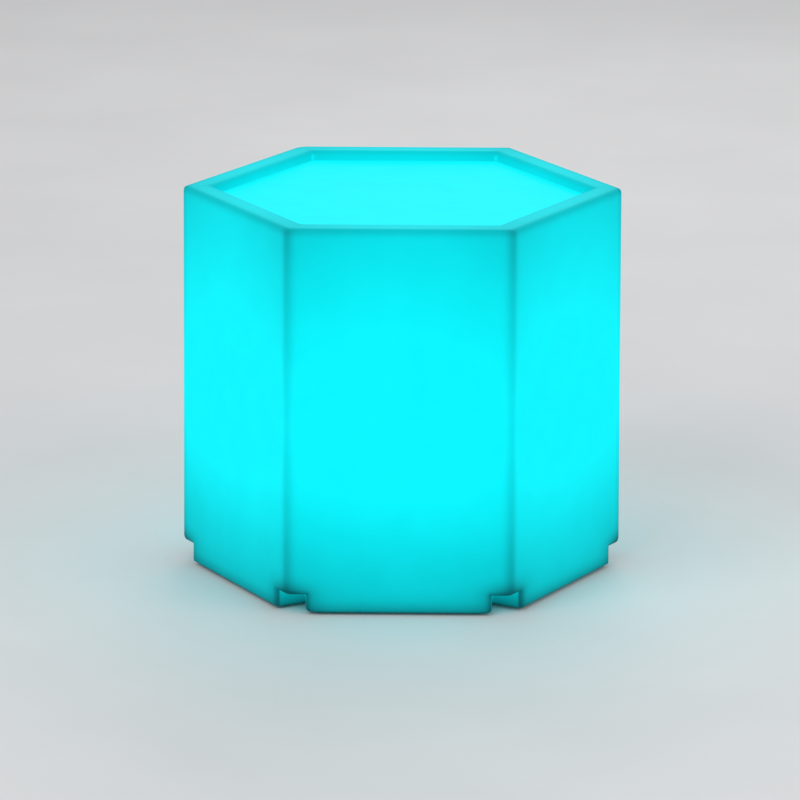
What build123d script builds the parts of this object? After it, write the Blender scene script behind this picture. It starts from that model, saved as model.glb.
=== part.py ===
from build123d import *
from math import atan2, cos, dist, hypot, pi, radians, sin, tan
import os

os.makedirs("parts", exist_ok=True)

# A hexagonal light-up plinth table: a hollow translucent moulding on rubber feet, lit by a
# rechargeable lamp unit that is screwed into a port in its underside. Sizes are in
# millimetres. The origin is the centre of the plan on the floor, +Z is up, and two of the
# six corners lie on the X axis.

# Shell
sides = 6
vertex_radius = 250.0
overall_height = 437.5
stand_height = 3.0
wall = 4.0
draft_angle = 0.27
corner_radius = 10.0
top_edge_radius = 6.0
bottom_edge_radius = 4.0

# Recess and rim of the top
rim_width = 29.0
recess_depth = 11.0
recess_corner_radius = 14.0
recess_lip_radius = 5.0

# Cut-outs at the bottom corners
notch_reach = 22.0
notch_depth = 45.0
notch_height = 19.3
notch_edge_chamfer = 4.5

# Push-in feet
foot_circle_radius = 172.0
foot_radius = 12.0
foot_facets = 24
foot_taper = 15.0
foot_stem_radius = 3.5
foot_stem_clearance = 0.1
foot_barb_radius = 4.8
foot_barb_height = 4.0
foot_barb_taper = 30.0
foot_barb_clearance = 0.1

# Hexagonal port in the underside
port_corner_radius = 6.0
seat_width = 17.5
seat_corner_radius = 14.0
seat_recess = 9.0
gasket_thickness = 1.5
gasket_width = 4.0
gasket_margin = 1.0
gasket_clearance = 0.3

# Fasteners, whose round forms are drawn with a few flats each
screw_facets = 12
screw_clearance = 0.3
thread_clearance = 0.05
base_screw_radius = 2.0
base_screw_head_radius = 4.0
base_screw_head_height = 2.6
base_screw_length = 14.0
small_screw_radius = 1.5
small_screw_head_radius = 2.8
small_screw_head_height = 2.0
small_screw_length = 10.0
insert_radius = 4.0
insert_length = 11.0
insert_boss_radius = 7.5
insert_boss_height = 14.0

# Lamp unit: moulded base plate and the tub that is bonded to it
flange_clearance = 1.5
flange_thickness = 7.0
ledge_width = 12.0
plate_thickness = 3.0
tub_clearance = 1.5
tub_fit = 0.2
tub_wall = 2.5
tub_floor = 2.0
tub_corner_radius = 6.0
tub_boss_width = 9.0
tub_boss_inset = 6.6
tub_boss_count = 3
post_width = 7.0
pilot_hole_depth = 12.0

# Control pocket in the underside of the lamp unit, as long as the board above it
pocket_width = 34.0
pocket_corner_radius = 10.0
pocket_depth = 15.0
pocket_wall = 2.5
pocket_roof = 3.0
pocket_offset = 32.0
housing_lip = 2.0

# Battery
cell_radius = 9.2
cell_length = 65.2
cell_gap = 0.3
cell_count = 3
cell_facets = 24
battery_gap = 6.2
tab_thickness = 0.4
tab_width = 7.0
tab_clearance = 1.5
saddle_thickness = 3.0
saddle_spread = 40.0
saddle_margin = 0.5
bracket_width = 16.0
bracket_thickness = 2.0
bracket_clearance = 0.3
bracket_screw_gap = 4.3
bracket_end_clearance = 0.2

# Control board
board_thickness = 1.6
board_gap = 2.3
board_inset = 2.4
board_margin = 4.0
board_clearance = 2.08
connector_length = 8.0
connector_width = 6.0
connector_height = 7.0
connector_inset = 5.9
capacitor_radius = 4.0
capacitor_sides = 12
capacitor_height = 10.0

# Where the board's parts stand, as shares of its length and width from its middle
chips = [
    ((-0.12, 0.0), (10.0, 10.0, 1.4)),
    ((-0.12, 0.3), (6.0, 6.0, 1.2)),
    ((0.10, 0.32), (8.0, 8.0, 4.0)),
    ((0.07, 0.05), (5.0, 6.5, 2.2)),
    ((0.17, 0.05), (5.0, 6.5, 2.2)),
    ((0.27, 0.05), (5.0, 6.5, 2.2)),
    ((0.39, 0.16), (10.0, 14.0, 3.0)),
]
capacitor_places = [(0.24, 0.32), (-0.26, 0.32)]

# Light source and its diffuser
spreader_thickness = 2.0
spreader_clearance = 0.3
led_board_apothem = 44.0
led_board_thickness = 1.6
led_width = 5.0
led_height = 1.6
led_ring_radii = [12.0, 27.0, 40.0]
wire_hole_width = 6.0
wire_hole_offset = 21.0
seal_thickness = 1.2
seal_width = 12.0
diffuser_flange_thickness = 3.0
diffuser_inset = 11.5
diffuser_shoulder_height = 26.0
diffuser_height = 42.0
diffuser_side_taper = 14.0
diffuser_top_taper = 50.0
diffuser_wall = 2.5
diffuser_screw_length = 14.0

# Push switch
switch_offset = 26.0
switch_width = 15.0
switch_wall = 1.0
switch_bezel_width = 19.0
switch_bezel_height = 2.0
switch_body_height = 14.0
panel_clearance = 0.2
switch_seal_thickness = 0.8
switch_seal_margin = 0.7
clip_thickness = 2.5
clip_width = 3.5
switch_roof = 2.0
switch_shelf = 1.0
button_radius = 5.0
button_clearance = 0.2
button_stand = 2.5
button_travel = 1.5
button_shoulder_width = 12.4
button_shoulder_height = 1.5
button_stem_radius = 1.8
button_stem_gap = 0.3
button_crown_chamfer = 0.8
spring_wire_radius = 0.4
spring_wire_sides = 4
spring_coil_radius = 4.4
spring_turns = 3.5
spring_seat_gap = 0.05
terminal_width = 2.5
terminal_thickness = 0.8
terminal_height = 6.0
terminal_spread = 3.0

# Charging socket and its hinged cover
socket_offset = 25.0
socket_width = 11.0
socket_flange_width = 13.0
socket_flange_height = 2.0
socket_body_height = 14.0
socket_bore_radius = 3.15
socket_bore_depth = 9.5
socket_pin_radius = 1.05
socket_pin_recess = 1.3
cover_width = 12.6
cover_thickness = 1.6
cover_gap = 0.3
cover_hinge_distance = 10.0
cover_hinge_drop = 2.1
cover_knuckle_radius = 1.7
cover_knuckle_length = 5.0
cover_stub_radius = 2.8
cover_stub_length = 1.2
hinge_ear_thickness = 2.0
hinge_ear_gap = 0.3
hinge_ear_radius = 2.0
hinge_pin_radius = 0.75
hinge_clearance = 0.05
hinge_facets = 16

# Charge light
light_offset_x = 11.0
light_offset_y = 21.5
light_radius = 2.5
light_collar_radius = 3.0
light_collar_height = 1.0
light_height = 5.5
light_facets = 16
light_nose_chamfer = 1.0
light_clearance = 0.15

# Leads
lead_width = 4.0
lead_thickness = 1.6
lead_bend = 3.0
lead_rise = 5.6
lead_gap = 2.0
lead_reach = 17.0

# Heights and places that follow from the sizes above
foot_angle = 180.0 / sides
recess_z = overall_height - recess_depth
seat_z = stand_height + seat_recess
groove_z = seat_z - gasket_thickness
flange_bottom = seat_z - flange_thickness
plate_top = flange_bottom + plate_thickness
roof_z = flange_bottom + pocket_depth
roof_top = roof_z + pocket_roof
floor_top = plate_top + tub_floor
cell_z = floor_top + cell_radius
bracket_z = cell_z + cell_radius + bracket_clearance
bracket_top = bracket_z + bracket_thickness
board_z = bracket_top + small_screw_head_height + board_gap
board_top = board_z + board_thickness
connector_top = board_top + connector_height
lead_z = connector_top + lead_rise
spreader_z = lead_z + lead_thickness / 2 + lead_gap
tub_top = spreader_z + spreader_thickness
led_board_top = tub_top + led_board_thickness
diffuser_z = tub_top + seal_thickness
diffuser_base_z = diffuser_z + diffuser_flange_thickness
cell_pitch = 2 * cell_radius + cell_gap
battery_half_width = (cell_count - 1) / 2 * cell_pitch + cell_radius
battery_offset = battery_half_width + battery_gap + pocket_wall + pocket_width / 2 - pocket_offset
board_hole_spacing_x = cell_length + 2 * (tab_thickness + tab_clearance) + post_width
board_length = board_hole_spacing_x + 2 * board_margin
board_width = 2 * (battery_half_width - board_inset)
board_hole_spacing_y = board_width - 2 * board_margin
connector_row_offset = battery_offset - board_width / 2 + connector_inset
pocket_length = board_length
board_corner_x = board_length / 2 * cos(pi / sides)
board_corner_y = (battery_offset + board_width / 2) * sin(pi / sides)
bracket_reach = battery_half_width + bracket_screw_gap
bracket_end_y = battery_offset + bracket_reach + bracket_width / 2
tub_inner_apothem = max(
    board_corner_x + board_corner_y + board_clearance, bracket_end_y + bracket_end_clearance
)
tub_apothem = tub_inner_apothem + tub_wall
tub_boss_circle_radius = tub_inner_apothem / cos(pi / sides) - tub_boss_inset
port_apothem = tub_apothem + tub_clearance
seat_apothem = port_apothem + seat_width
flange_apothem = seat_apothem - flange_clearance
base_screw_circle_radius = flange_apothem - ledge_width / 2
diffuser_apothem = tub_apothem - diffuser_inset


def apothem_at(height: float) -> float:
    """Distance from the centre to a face of the tapered shell at a height."""
    return vertex_radius * cos(pi / sides) - (height - stand_height) * tan(radians(draft_angle))


def ring_points(radius: float, count: int, start: float = 0.0) -> list[tuple[float, float]]:
    """Points evenly spaced on a circle round the centre."""
    angles = [radians(start + 360.0 * i / count) for i in range(count)]
    return [(radius * cos(angle), radius * sin(angle)) for angle in angles]


def upright_edges(part: BuildPart) -> ShapeList[Edge]:
    """Straight edges that run up the part."""
    return part.edges().filter_by(lambda edge: abs((edge % 0.5).Z) > 0.9)


def posts(points: list, radius: float, low: float, high: float, mode: Mode = Mode.ADD) -> None:
    """Round posts or holes at several points of the part being built."""
    with BuildSketch(Plane.XY.offset(low)) as plan:
        with Locations(*points):
            Circle(radius)
    extrude(plan.sketch, amount=high - low, mode=mode)


def faceted_posts(
    points: list, radius: float, facets: int, low: float, high: float, mode: Mode = Mode.ADD
) -> None:
    """Posts or holes with a number of flats at several points of the part being built."""
    with BuildSketch(Plane.XY.offset(low)) as plan:
        with Locations(*points):
            RegularPolygon(radius, facets)
    extrude(plan.sketch, amount=high - low, mode=mode)


def screw_holes(points: list, radius: float, low: float, high: float) -> None:
    """Holes for screws at several points of the part being built."""
    faceted_posts(points, radius, screw_facets, low, high, Mode.SUBTRACT)


def hexagon_plate(
    apothem: float, rounding: float, low: float, high: float, mode: Mode = Mode.ADD
) -> None:
    """Hexagonal plate or hole round the centre of the part being built."""
    with BuildSketch(Plane.XY.offset(low)) as plan:
        RegularPolygon(apothem, sides, major_radius=False)
        if rounding > 0:
            fillet(plan.vertices(), rounding)
    extrude(plan.sketch, amount=high - low, mode=mode)


def square_block(
    point: tuple[float, float], width: float, low: float, high: float, mode: Mode = Mode.ADD
) -> None:
    """Square block or hole at a point of the part being built."""
    with BuildSketch(Plane.XY.offset(low)) as plan:
        with Locations(point):
            Rectangle(width, width)
    extrude(plan.sketch, amount=high - low, mode=mode)


def pocket_block(growth: float, low: float, high: float, mode: Mode = Mode.ADD) -> None:
    """Block or hollow with the control pocket's plan, longer and wider by a growth."""
    with BuildSketch(Plane.XY.offset(low)) as plan:
        with Locations((0, -pocket_offset)):
            length = pocket_length + growth
            width = pocket_width + growth
            RectangleRounded(length, width, pocket_corner_radius + growth / 2)
    extrude(plan.sketch, amount=high - low, mode=mode)


def hexagon_block(low: float, high: float, inset: float, rounding: float) -> Part:
    """Block that follows the shell's tapered faces, a distance inside them."""
    with BuildPart() as block:
        with BuildSketch(Plane.XY.offset(low)):
            RegularPolygon(apothem_at(low) - inset, sides, major_radius=False)
        extrude(amount=high - low, taper=draft_angle)
        fillet(upright_edges(block), rounding)
    return block.part


def recess_block(growth: float, low: float, high: float) -> Part:
    """Block with the recess's plan, grown by a distance."""
    recess_apothem = apothem_at(overall_height) - rim_width
    with BuildPart() as block:
        with BuildSketch(Plane.XY.offset(low)):
            RegularPolygon(recess_apothem + growth, sides, major_radius=False)
        extrude(amount=high - low)
        fillet(upright_edges(block), recess_corner_radius + growth)
    return block.part


def notch_block(growth: float, high: float) -> Part:
    """Kite-shaped block that makes the cut-out of the corner on +X, grown by a distance."""
    inner_x = vertex_radius - notch_depth
    mouth_x = vertex_radius - notch_reach * sin(radians(foot_angle))
    mouth_y = notch_reach * cos(radians(foot_angle))
    flare = atan2(mouth_y, mouth_x - inner_x)
    outer_x = inner_x + 1.5 * notch_depth * cos(flare)
    outer_y = 1.5 * notch_depth * sin(flare)
    tip_x = vertex_radius + notch_depth
    with BuildPart() as block:
        with BuildSketch(Plane.XY):
            Polygon((inner_x, 0), (outer_x, -outer_y), (tip_x, 0), (outer_x, outer_y), align=None)
            if growth > 0:
                offset(amount=growth, kind=Kind.INTERSECTION)
        extrude(amount=high)
    return block.part


def screw(shank_radius: float, shank_length: float, head_radius: float, head_height: float) -> Part:
    """Screw: the shank rises from the origin and the head hangs below it."""
    with BuildPart() as fastener:
        faceted_posts([(0, 0)], head_radius, screw_facets, -head_height, 0)
        faceted_posts([(0, 0)], shank_radius, screw_facets, 0, shank_length)
    return fastener.part


def panel_clip(centre: float, width: float) -> Part:
    """Square clip on the pocket's roof, round a body of a width that stands at X = centre."""
    point = (centre, -pocket_offset)
    with BuildPart() as clip:
        square_block(point, width + 2 * clip_width, roof_top, roof_top + clip_thickness)
        square_block(point, width, roof_top, roof_top + clip_thickness, Mode.SUBTRACT)
    return clip.part


def terminal_blades(centre: float, low: float) -> Part:
    """Two solder blades on the back of a switch or socket that stands at X = centre."""
    with BuildPart() as blades:
        with BuildSketch(Plane.XY.offset(low)):
            with Locations((centre, -pocket_offset)):
                with GridLocations(terminal_spread, 0, 2, 1):
                    Rectangle(terminal_thickness, terminal_width)
        extrude(amount=terminal_height)
    return blades.part


def lantern(apothem: float, low: float, shoulder: float, top: float) -> Part:
    """Six-sided block with steep sides up to its shoulder and shallow ones above it."""
    with BuildPart() as block:
        with BuildSketch(Plane.XY.offset(low)):
            RegularPolygon(apothem, sides, major_radius=False)
        extrude(amount=shoulder - low, taper=diffuser_side_taper)
        shoulder_face = block.faces().sort_by(Axis.Z)[-1]
        extrude(shoulder_face, amount=top - shoulder, taper=diffuser_top_taper)
    return block.part


def flat_lead(plane: Plane, *route: tuple[float, float]) -> Part:
    """Flat two-wire lead along straight runs in a plane, with its bends cut off."""
    corners = [Vector(*point) for point in route]
    points = [corners[0]]
    for before, corner, after in zip(corners, corners[1:], corners[2:]):
        points.append(corner + (before - corner).normalized() * lead_bend)
        points.append(corner + (after - corner).normalized() * lead_bend)
    points.append(corners[-1])
    with BuildPart() as strip:
        with BuildSketch(plane):
            with BuildLine():
                Polyline(*points)
            trace(line_width=lead_thickness)
        extrude(amount=lead_width / 2, both=True)
    return strip.part


def board_place(shares: tuple[float, float]) -> tuple[float, float]:
    """Point of the board at shares of its length and width from its middle."""
    return shares[0] * board_length, battery_offset + shares[1] * board_width


insert_points = ring_points(base_screw_circle_radius, sides, foot_angle)
foot_points = ring_points(foot_circle_radius, sides, foot_angle)
tub_boss_points = ring_points(tub_boss_circle_radius, tub_boss_count)
board_points = [
    (x * board_hole_spacing_x / 2, battery_offset + y * board_hole_spacing_y / 2)
    for x in (-1, 1)
    for y in (-1, 1)
]
bracket_points = [(0, battery_offset - bracket_reach), (0, battery_offset + bracket_reach)]
switch_point = (-switch_offset, -pocket_offset)
socket_point = (socket_offset, -pocket_offset)
light_point = (-light_offset_x, -light_offset_y)

# Hollow inside of the shell: one wall thickness inside every outer form
with BuildPart() as cavity:
    cavity_low = stand_height + wall
    add(hexagon_block(cavity_low, overall_height - wall, wall, corner_radius - wall))
    add(recess_block(wall, recess_z - wall, overall_height), mode=Mode.SUBTRACT)
    grown_notch = notch_block(wall, stand_height + notch_height + wall)
    with PolarLocations(0, sides):
        add(grown_notch, mode=Mode.SUBTRACT)
    seat_top = seat_z + wall
    hexagon_plate(
        seat_apothem + wall, seat_corner_radius + wall, cavity_low, seat_top, Mode.SUBTRACT
    )
    boss_top = seat_z + insert_boss_height
    faceted_posts(insert_points, insert_boss_radius, sides, seat_z, boss_top, Mode.SUBTRACT)

# Shell: the tapered hexagon with its corner cut-outs, its recess and its port
with BuildPart() as plinth_shell:
    add(hexagon_block(stand_height, overall_height, 0, corner_radius))
    corner_notch = notch_block(0, stand_height + notch_height)
    with PolarLocations(0, sides):
        add(corner_notch, mode=Mode.SUBTRACT)
    mouth_edges = plinth_shell.edges().filter_by(
        lambda edge: stand_height < edge.center().Z <= stand_height + notch_height
        and hypot(edge.center().X, edge.center().Y) > apothem_at(0) + notch_height
    )
    chamfer(mouth_edges, notch_edge_chamfer)
    fillet(plinth_shell.faces().sort_by(Axis.Z)[0].edges(), bottom_edge_radius)
    fillet(plinth_shell.faces().sort_by(Axis.Z)[-1].edges(), top_edge_radius)
    add(recess_block(0, recess_z, overall_height + wall), mode=Mode.SUBTRACT)
    rim_face = plinth_shell.faces().sort_by(Axis.Z)[-1]
    fillet(rim_face.inner_wires().edges(), recess_lip_radius)
    hexagon_plate(seat_apothem, seat_corner_radius, stand_height, seat_z, Mode.SUBTRACT)
    add(cavity.part, mode=Mode.SUBTRACT)
    hexagon_plate(port_apothem, port_corner_radius, seat_z, seat_top, Mode.SUBTRACT)
    insert_top = seat_z + insert_length
    faceted_posts(insert_points, insert_radius, sides, seat_z, insert_top, Mode.SUBTRACT)
    stem_hole_radius = foot_stem_radius + foot_stem_clearance
    faceted_posts(
        foot_points, stem_hole_radius, sides, stand_height, cavity_low, Mode.SUBTRACT
    )
plinth_shell.part.label = "plinth_shell"
export_step(plinth_shell.part, "parts/plinth_shell.step")

# Rubber feet: a disc, and a six-sided stem with a barb that snaps through the wall
with BuildPart() as rubber_foot:
    with BuildSketch(Plane.XY.offset(stand_height)):
        RegularPolygon(foot_radius, foot_facets)
    extrude(amount=-stand_height, taper=foot_taper)
    barb_z = cavity_low + foot_barb_clearance
    faceted_posts([(0, 0)], foot_stem_radius, sides, stand_height, barb_z)
    with BuildSketch(Plane.XY.offset(barb_z)):
        RegularPolygon(foot_barb_radius, sides)
    extrude(amount=foot_barb_height, taper=foot_barb_taper)
with BuildPart() as rubber_feet:
    with Locations(*foot_points):
        add(rubber_foot.part)
rubber_feet.part.label = "rubber_feet"
export_step(rubber_feet.part, "parts/rubber_feet.step")

# Six-sided brass inserts, moulded into the bosses over the port's seat
with BuildPart() as threaded_inserts:
    faceted_posts(insert_points, insert_radius, sides, seat_z, insert_top)
    thread_radius = base_screw_radius + thread_clearance
    screw_holes(insert_points, thread_radius, seat_z, insert_top)
threaded_inserts.part.label = "threaded_inserts"
export_step(threaded_inserts.part, "parts/threaded_inserts.step")

# Rubber gasket in a groove of the lamp unit's flange, pressed on the port's seat
gasket_inner = port_apothem + gasket_margin
gasket_outer = gasket_inner + gasket_width
with BuildPart() as base_gasket:
    hexagon_plate(gasket_outer, 0, groove_z, seat_z)
    hexagon_plate(gasket_inner, 0, groove_z, seat_z, Mode.SUBTRACT)
base_gasket.part.label = "base_gasket"
export_step(base_gasket.part, "parts/base_gasket.step")

# Lamp unit's base: flange with its gasket groove, and a window for the control housing
small_hole_radius = small_screw_radius + screw_clearance
with BuildPart() as lamp_base:
    hexagon_plate(flange_apothem, seat_corner_radius, plate_top, seat_z)
    groove_apothem = gasket_outer + gasket_clearance
    hexagon_plate(groove_apothem, 0, groove_z, seat_z, Mode.SUBTRACT)
    foot_apothem = flange_apothem - ledge_width
    hexagon_plate(foot_apothem, seat_corner_radius, flange_bottom, plate_top)
    tub_recess = tub_apothem + tub_fit
    hexagon_plate(tub_recess, tub_corner_radius, plate_top, groove_z, Mode.SUBTRACT)
    pocket_block(2 * (pocket_wall + tub_fit), flange_bottom, plate_top, Mode.SUBTRACT)
    base_hole_radius = base_screw_radius + screw_clearance
    screw_holes(insert_points, base_hole_radius, plate_top, seat_z)
lamp_base.part.label = "lamp_base"
export_step(lamp_base.part, "parts/lamp_base.step")

# Control housing: the pocket's walls and roof, with a lip that rests on the base's plate
with BuildPart() as control_housing:
    pocket_block(2 * pocket_wall, flange_bottom, roof_top)
    pocket_block(2 * (pocket_wall + housing_lip), plate_top, floor_top)
    pocket_block(0, flange_bottom, roof_z, Mode.SUBTRACT)
    switch_hole = switch_width + 2 * panel_clearance
    square_block(switch_point, switch_hole, roof_z, roof_top, Mode.SUBTRACT)
    socket_hole = socket_width + 2 * panel_clearance
    square_block(socket_point, socket_hole, roof_z, roof_top, Mode.SUBTRACT)
    posts([light_point], light_radius + light_clearance, roof_z, roof_top, Mode.SUBTRACT)
    hinge_hole_radius = hinge_pin_radius + hinge_clearance
    hinge_x = socket_offset - cover_hinge_distance
    hinge_z = roof_z - cover_hinge_drop
    ear_inner = cover_knuckle_length / 2 + hinge_ear_gap
    for side in (-1, 1):
        ear_y = -pocket_offset + side * (ear_inner + hinge_ear_thickness / 2)
        with BuildSketch(Plane((hinge_x, ear_y, hinge_z), x_dir=(1, 0, 0), z_dir=(0, 1, 0))):
            RegularPolygon(hinge_ear_radius, hinge_facets)
            with Locations((0, -cover_hinge_drop / 2)):
                Rectangle(2 * hinge_ear_radius, cover_hinge_drop)
            RegularPolygon(hinge_hole_radius, hinge_facets, mode=Mode.SUBTRACT)
        extrude(amount=hinge_ear_thickness / 2, both=True)
control_housing.part.label = "control_housing"
export_step(control_housing.part, "parts/control_housing.step")

# Tub on the base: floor and wall with bosses, board posts and battery saddles
with BuildPart() as lamp_tub:
    hexagon_plate(tub_apothem, tub_corner_radius, plate_top, tub_top)
    hexagon_plate(tub_inner_apothem, 0, floor_top, tub_top, Mode.SUBTRACT)
    with BuildSketch(Plane.XY.offset(floor_top)):
        with PolarLocations(tub_boss_circle_radius, tub_boss_count):
            Rectangle(tub_boss_width, tub_boss_width)
    extrude(amount=spreader_z - floor_top)
    for point in board_points:
        square_block(point, post_width, floor_top, board_z)
    for point in bracket_points:
        square_block(point, post_width, floor_top, bracket_z)
    for side in (-1, 1):
        with BuildSketch(Plane.YZ.offset(side * saddle_spread / 2)):
            with Locations((battery_offset, (floor_top + cell_z) / 2)):
                Rectangle(2 * (battery_half_width + saddle_margin), cell_z - floor_top)
            with Locations((battery_offset, cell_z)):
                with GridLocations(cell_pitch, 0, cell_count, 1):
                    RegularPolygon(cell_radius, sides, major_radius=False, mode=Mode.SUBTRACT)
        extrude(amount=saddle_thickness / 2, both=True)
    lip_growth = 2 * (pocket_wall + housing_lip + tub_fit)
    pocket_block(lip_growth, plate_top, floor_top, Mode.SUBTRACT)
    pocket_block(2 * (pocket_wall + tub_fit), floor_top, roof_top, Mode.SUBTRACT)
    pilot_radius = small_screw_radius + thread_clearance
    screw_holes(tub_boss_points, pilot_radius, spreader_z - pilot_hole_depth, spreader_z)
    screw_holes(board_points, pilot_radius, board_z - pilot_hole_depth, board_z)
    screw_holes(bracket_points, pilot_radius, bracket_z - pilot_hole_depth, bracket_z)
lamp_tub.part.label = "lamp_tub"
export_step(lamp_tub.part, "parts/lamp_tub.step")

# Screws that hold the lamp unit in the port
base_screw = screw(
    base_screw_radius, base_screw_length, base_screw_head_radius, base_screw_head_height
)
with BuildPart() as base_screws:
    with Locations(*[(x, y, plate_top) for x, y in insert_points]):
        add(base_screw)
base_screws.part.label = "base_screws"
export_step(base_screws.part, "parts/base_screws.step")

# Rechargeable cells, side by side on their saddles
with BuildPart() as battery_cells:
    with BuildSketch(Plane.YZ.offset(-cell_length / 2)):
        with Locations((battery_offset, cell_z)):
            with GridLocations(cell_pitch, 0, cell_count, 1):
                RegularPolygon(cell_radius, cell_facets)
    extrude(amount=cell_length)
battery_cells.part.label = "battery_cells"
export_step(battery_cells.part, "parts/battery_cells.step")

# Welded strips that join the cells' ends
with BuildPart() as battery_tabs:
    for start in (-cell_length / 2 - tab_thickness, cell_length / 2):
        with BuildSketch(Plane.YZ.offset(start)):
            with Locations((battery_offset, cell_z)):
                Rectangle((cell_count - 1) * cell_pitch + tab_width, tab_width)
        extrude(amount=tab_thickness)
battery_tabs.part.label = "battery_tabs"
export_step(battery_tabs.part, "parts/battery_tabs.step")

# Strap over the cells and its two screws
with BuildPart() as battery_bracket:
    with BuildSketch(Plane.XY.offset(bracket_z)):
        with Locations((0, battery_offset)):
            Rectangle(bracket_width, 2 * bracket_reach + bracket_width)
    extrude(amount=bracket_thickness)
    screw_holes(bracket_points, small_hole_radius, bracket_z, bracket_top)
battery_bracket.part.label = "battery_bracket"
export_step(battery_bracket.part, "parts/battery_bracket.step")

small_screw = screw(
    small_screw_radius, small_screw_length, small_screw_head_radius, small_screw_head_height
)
with BuildPart() as bracket_screws:
    with Locations(*[Plane((x, y, bracket_top), z_dir=(0, 0, -1)) for x, y in bracket_points]):
        add(small_screw)
bracket_screws.part.label = "bracket_screws"
export_step(bracket_screws.part, "parts/bracket_screws.step")

# Control board on four posts, over the cells
with BuildPart() as control_board:
    with BuildSketch(Plane.XY.offset(board_z)):
        with Locations((0, battery_offset)):
            Rectangle(board_length, board_width)
    extrude(amount=board_thickness)
    screw_holes(board_points, small_hole_radius, board_z, board_top)
control_board.part.label = "control_board"
export_step(control_board.part, "parts/control_board.step")

with BuildPart() as board_screws:
    with Locations(*[Plane((x, y, board_top), z_dir=(0, 0, -1)) for x, y in board_points]):
        add(small_screw)
board_screws.part.label = "board_screws"
export_step(board_screws.part, "parts/board_screws.step")

# Plug-in connectors along the board's front edge, and the battery's at its left
battery_connector_x = cell_length / 2
connector_points = [
    (-switch_offset, connector_row_offset),
    (-light_offset_x, connector_row_offset),
    (0, connector_row_offset),
    (socket_offset, connector_row_offset),
    (-battery_connector_x, battery_offset),
]
with BuildPart() as board_connectors:
    with BuildSketch(Plane.XY.offset(board_top)):
        with Locations(*connector_points[:-1]):
            Rectangle(connector_length, connector_width)
        with Locations(connector_points[-1]):
            Rectangle(connector_width, connector_length)
    extrude(amount=connector_height)
board_connectors.part.label = "board_connectors"
export_step(board_connectors.part, "parts/board_connectors.step")

# Controller, charger, light drivers, coil and radio receiver
with BuildPart() as board_chips:
    for place, (length, width, height) in chips:
        with BuildSketch(Plane.XY.offset(board_top)):
            with Locations(board_place(place)):
                Rectangle(length, width)
        extrude(amount=height)
board_chips.part.label = "board_chips"
export_step(board_chips.part, "parts/board_chips.step")

with BuildPart() as board_capacitors:
    with BuildSketch(Plane.XY.offset(board_top)):
        with Locations(*[board_place(place) for place in capacitor_places]):
            RegularPolygon(capacitor_radius, capacitor_sides)
    extrude(amount=capacitor_height)
board_capacitors.part.label = "board_capacitors"
export_step(board_capacitors.part, "parts/board_capacitors.step")

# Aluminium plate that closes the tub and takes the heat of the lights
with BuildPart() as heat_spreader:
    spreader_apothem = tub_inner_apothem - spreader_clearance
    hexagon_plate(spreader_apothem, 0, spreader_z, tub_top)
    screw_holes(tub_boss_points, small_hole_radius, spreader_z, tub_top)
    wire_hole_point = (0, -wire_hole_offset)
    square_block(wire_hole_point, wire_hole_width, spreader_z, tub_top, Mode.SUBTRACT)
heat_spreader.part.label = "heat_spreader"
export_step(heat_spreader.part, "parts/heat_spreader.step")

# Light board, bonded to the plate, with its rings of lights
with BuildPart() as led_board:
    with BuildSketch(Plane.XY.offset(tub_top)):
        RegularPolygon(led_board_apothem, sides, major_radius=False)
    extrude(amount=led_board_thickness)
led_board.part.label = "led_board"
export_step(led_board.part, "parts/led_board.step")

with BuildPart() as led_chips:
    with BuildSketch(Plane.XY.offset(led_board_top)):
        for ring, ring_radius in enumerate(led_ring_radii, 1):
            with PolarLocations(ring_radius, ring * sides):
                Rectangle(led_width, led_width)
    extrude(amount=led_height)
led_chips.part.label = "led_chips"
export_step(led_chips.part, "parts/led_chips.step")

# Soft seal over the joint of tub and plate
with BuildPart() as diffuser_seal:
    hexagon_plate(tub_apothem, tub_corner_radius, tub_top, diffuser_z)
    seal_inner = tub_apothem - seal_width
    hexagon_plate(seal_inner, 0, tub_top, diffuser_z, Mode.SUBTRACT)
    screw_holes(tub_boss_points, small_hole_radius, tub_top, diffuser_z)
diffuser_seal.part.label = "diffuser_seal"
export_step(diffuser_seal.part, "parts/diffuser_seal.step")

# Opal diffuser over the lights: a six-sided lantern on a flange that is clamped to the tub
shoulder_rise = diffuser_base_z + diffuser_shoulder_height
diffuser_top = diffuser_base_z + diffuser_height
with BuildPart() as diffuser:
    hexagon_plate(tub_apothem, tub_corner_radius, diffuser_z, diffuser_base_z)
    add(lantern(diffuser_apothem, diffuser_base_z, shoulder_rise, diffuser_top))
    inside = lantern(
        diffuser_apothem - diffuser_wall,
        diffuser_z,
        shoulder_rise - diffuser_wall,
        diffuser_top - diffuser_wall,
    )
    add(inside, mode=Mode.SUBTRACT)
    screw_holes(tub_boss_points, small_hole_radius, diffuser_z, diffuser_base_z)
diffuser.part.label = "diffuser"
export_step(diffuser.part, "parts/diffuser.step")

diffuser_screw = screw(
    small_screw_radius, diffuser_screw_length, small_screw_head_radius, small_screw_head_height
)
diffuser_screw_seats = [Plane((x, y, diffuser_base_z), z_dir=(0, 0, -1)) for x, y in tub_boss_points]
with BuildPart() as diffuser_screws:
    with Locations(*diffuser_screw_seats):
        add(diffuser_screw)
diffuser_screws.part.label = "diffuser_screws"
export_step(diffuser_screws.part, "parts/diffuser_screws.step")

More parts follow.
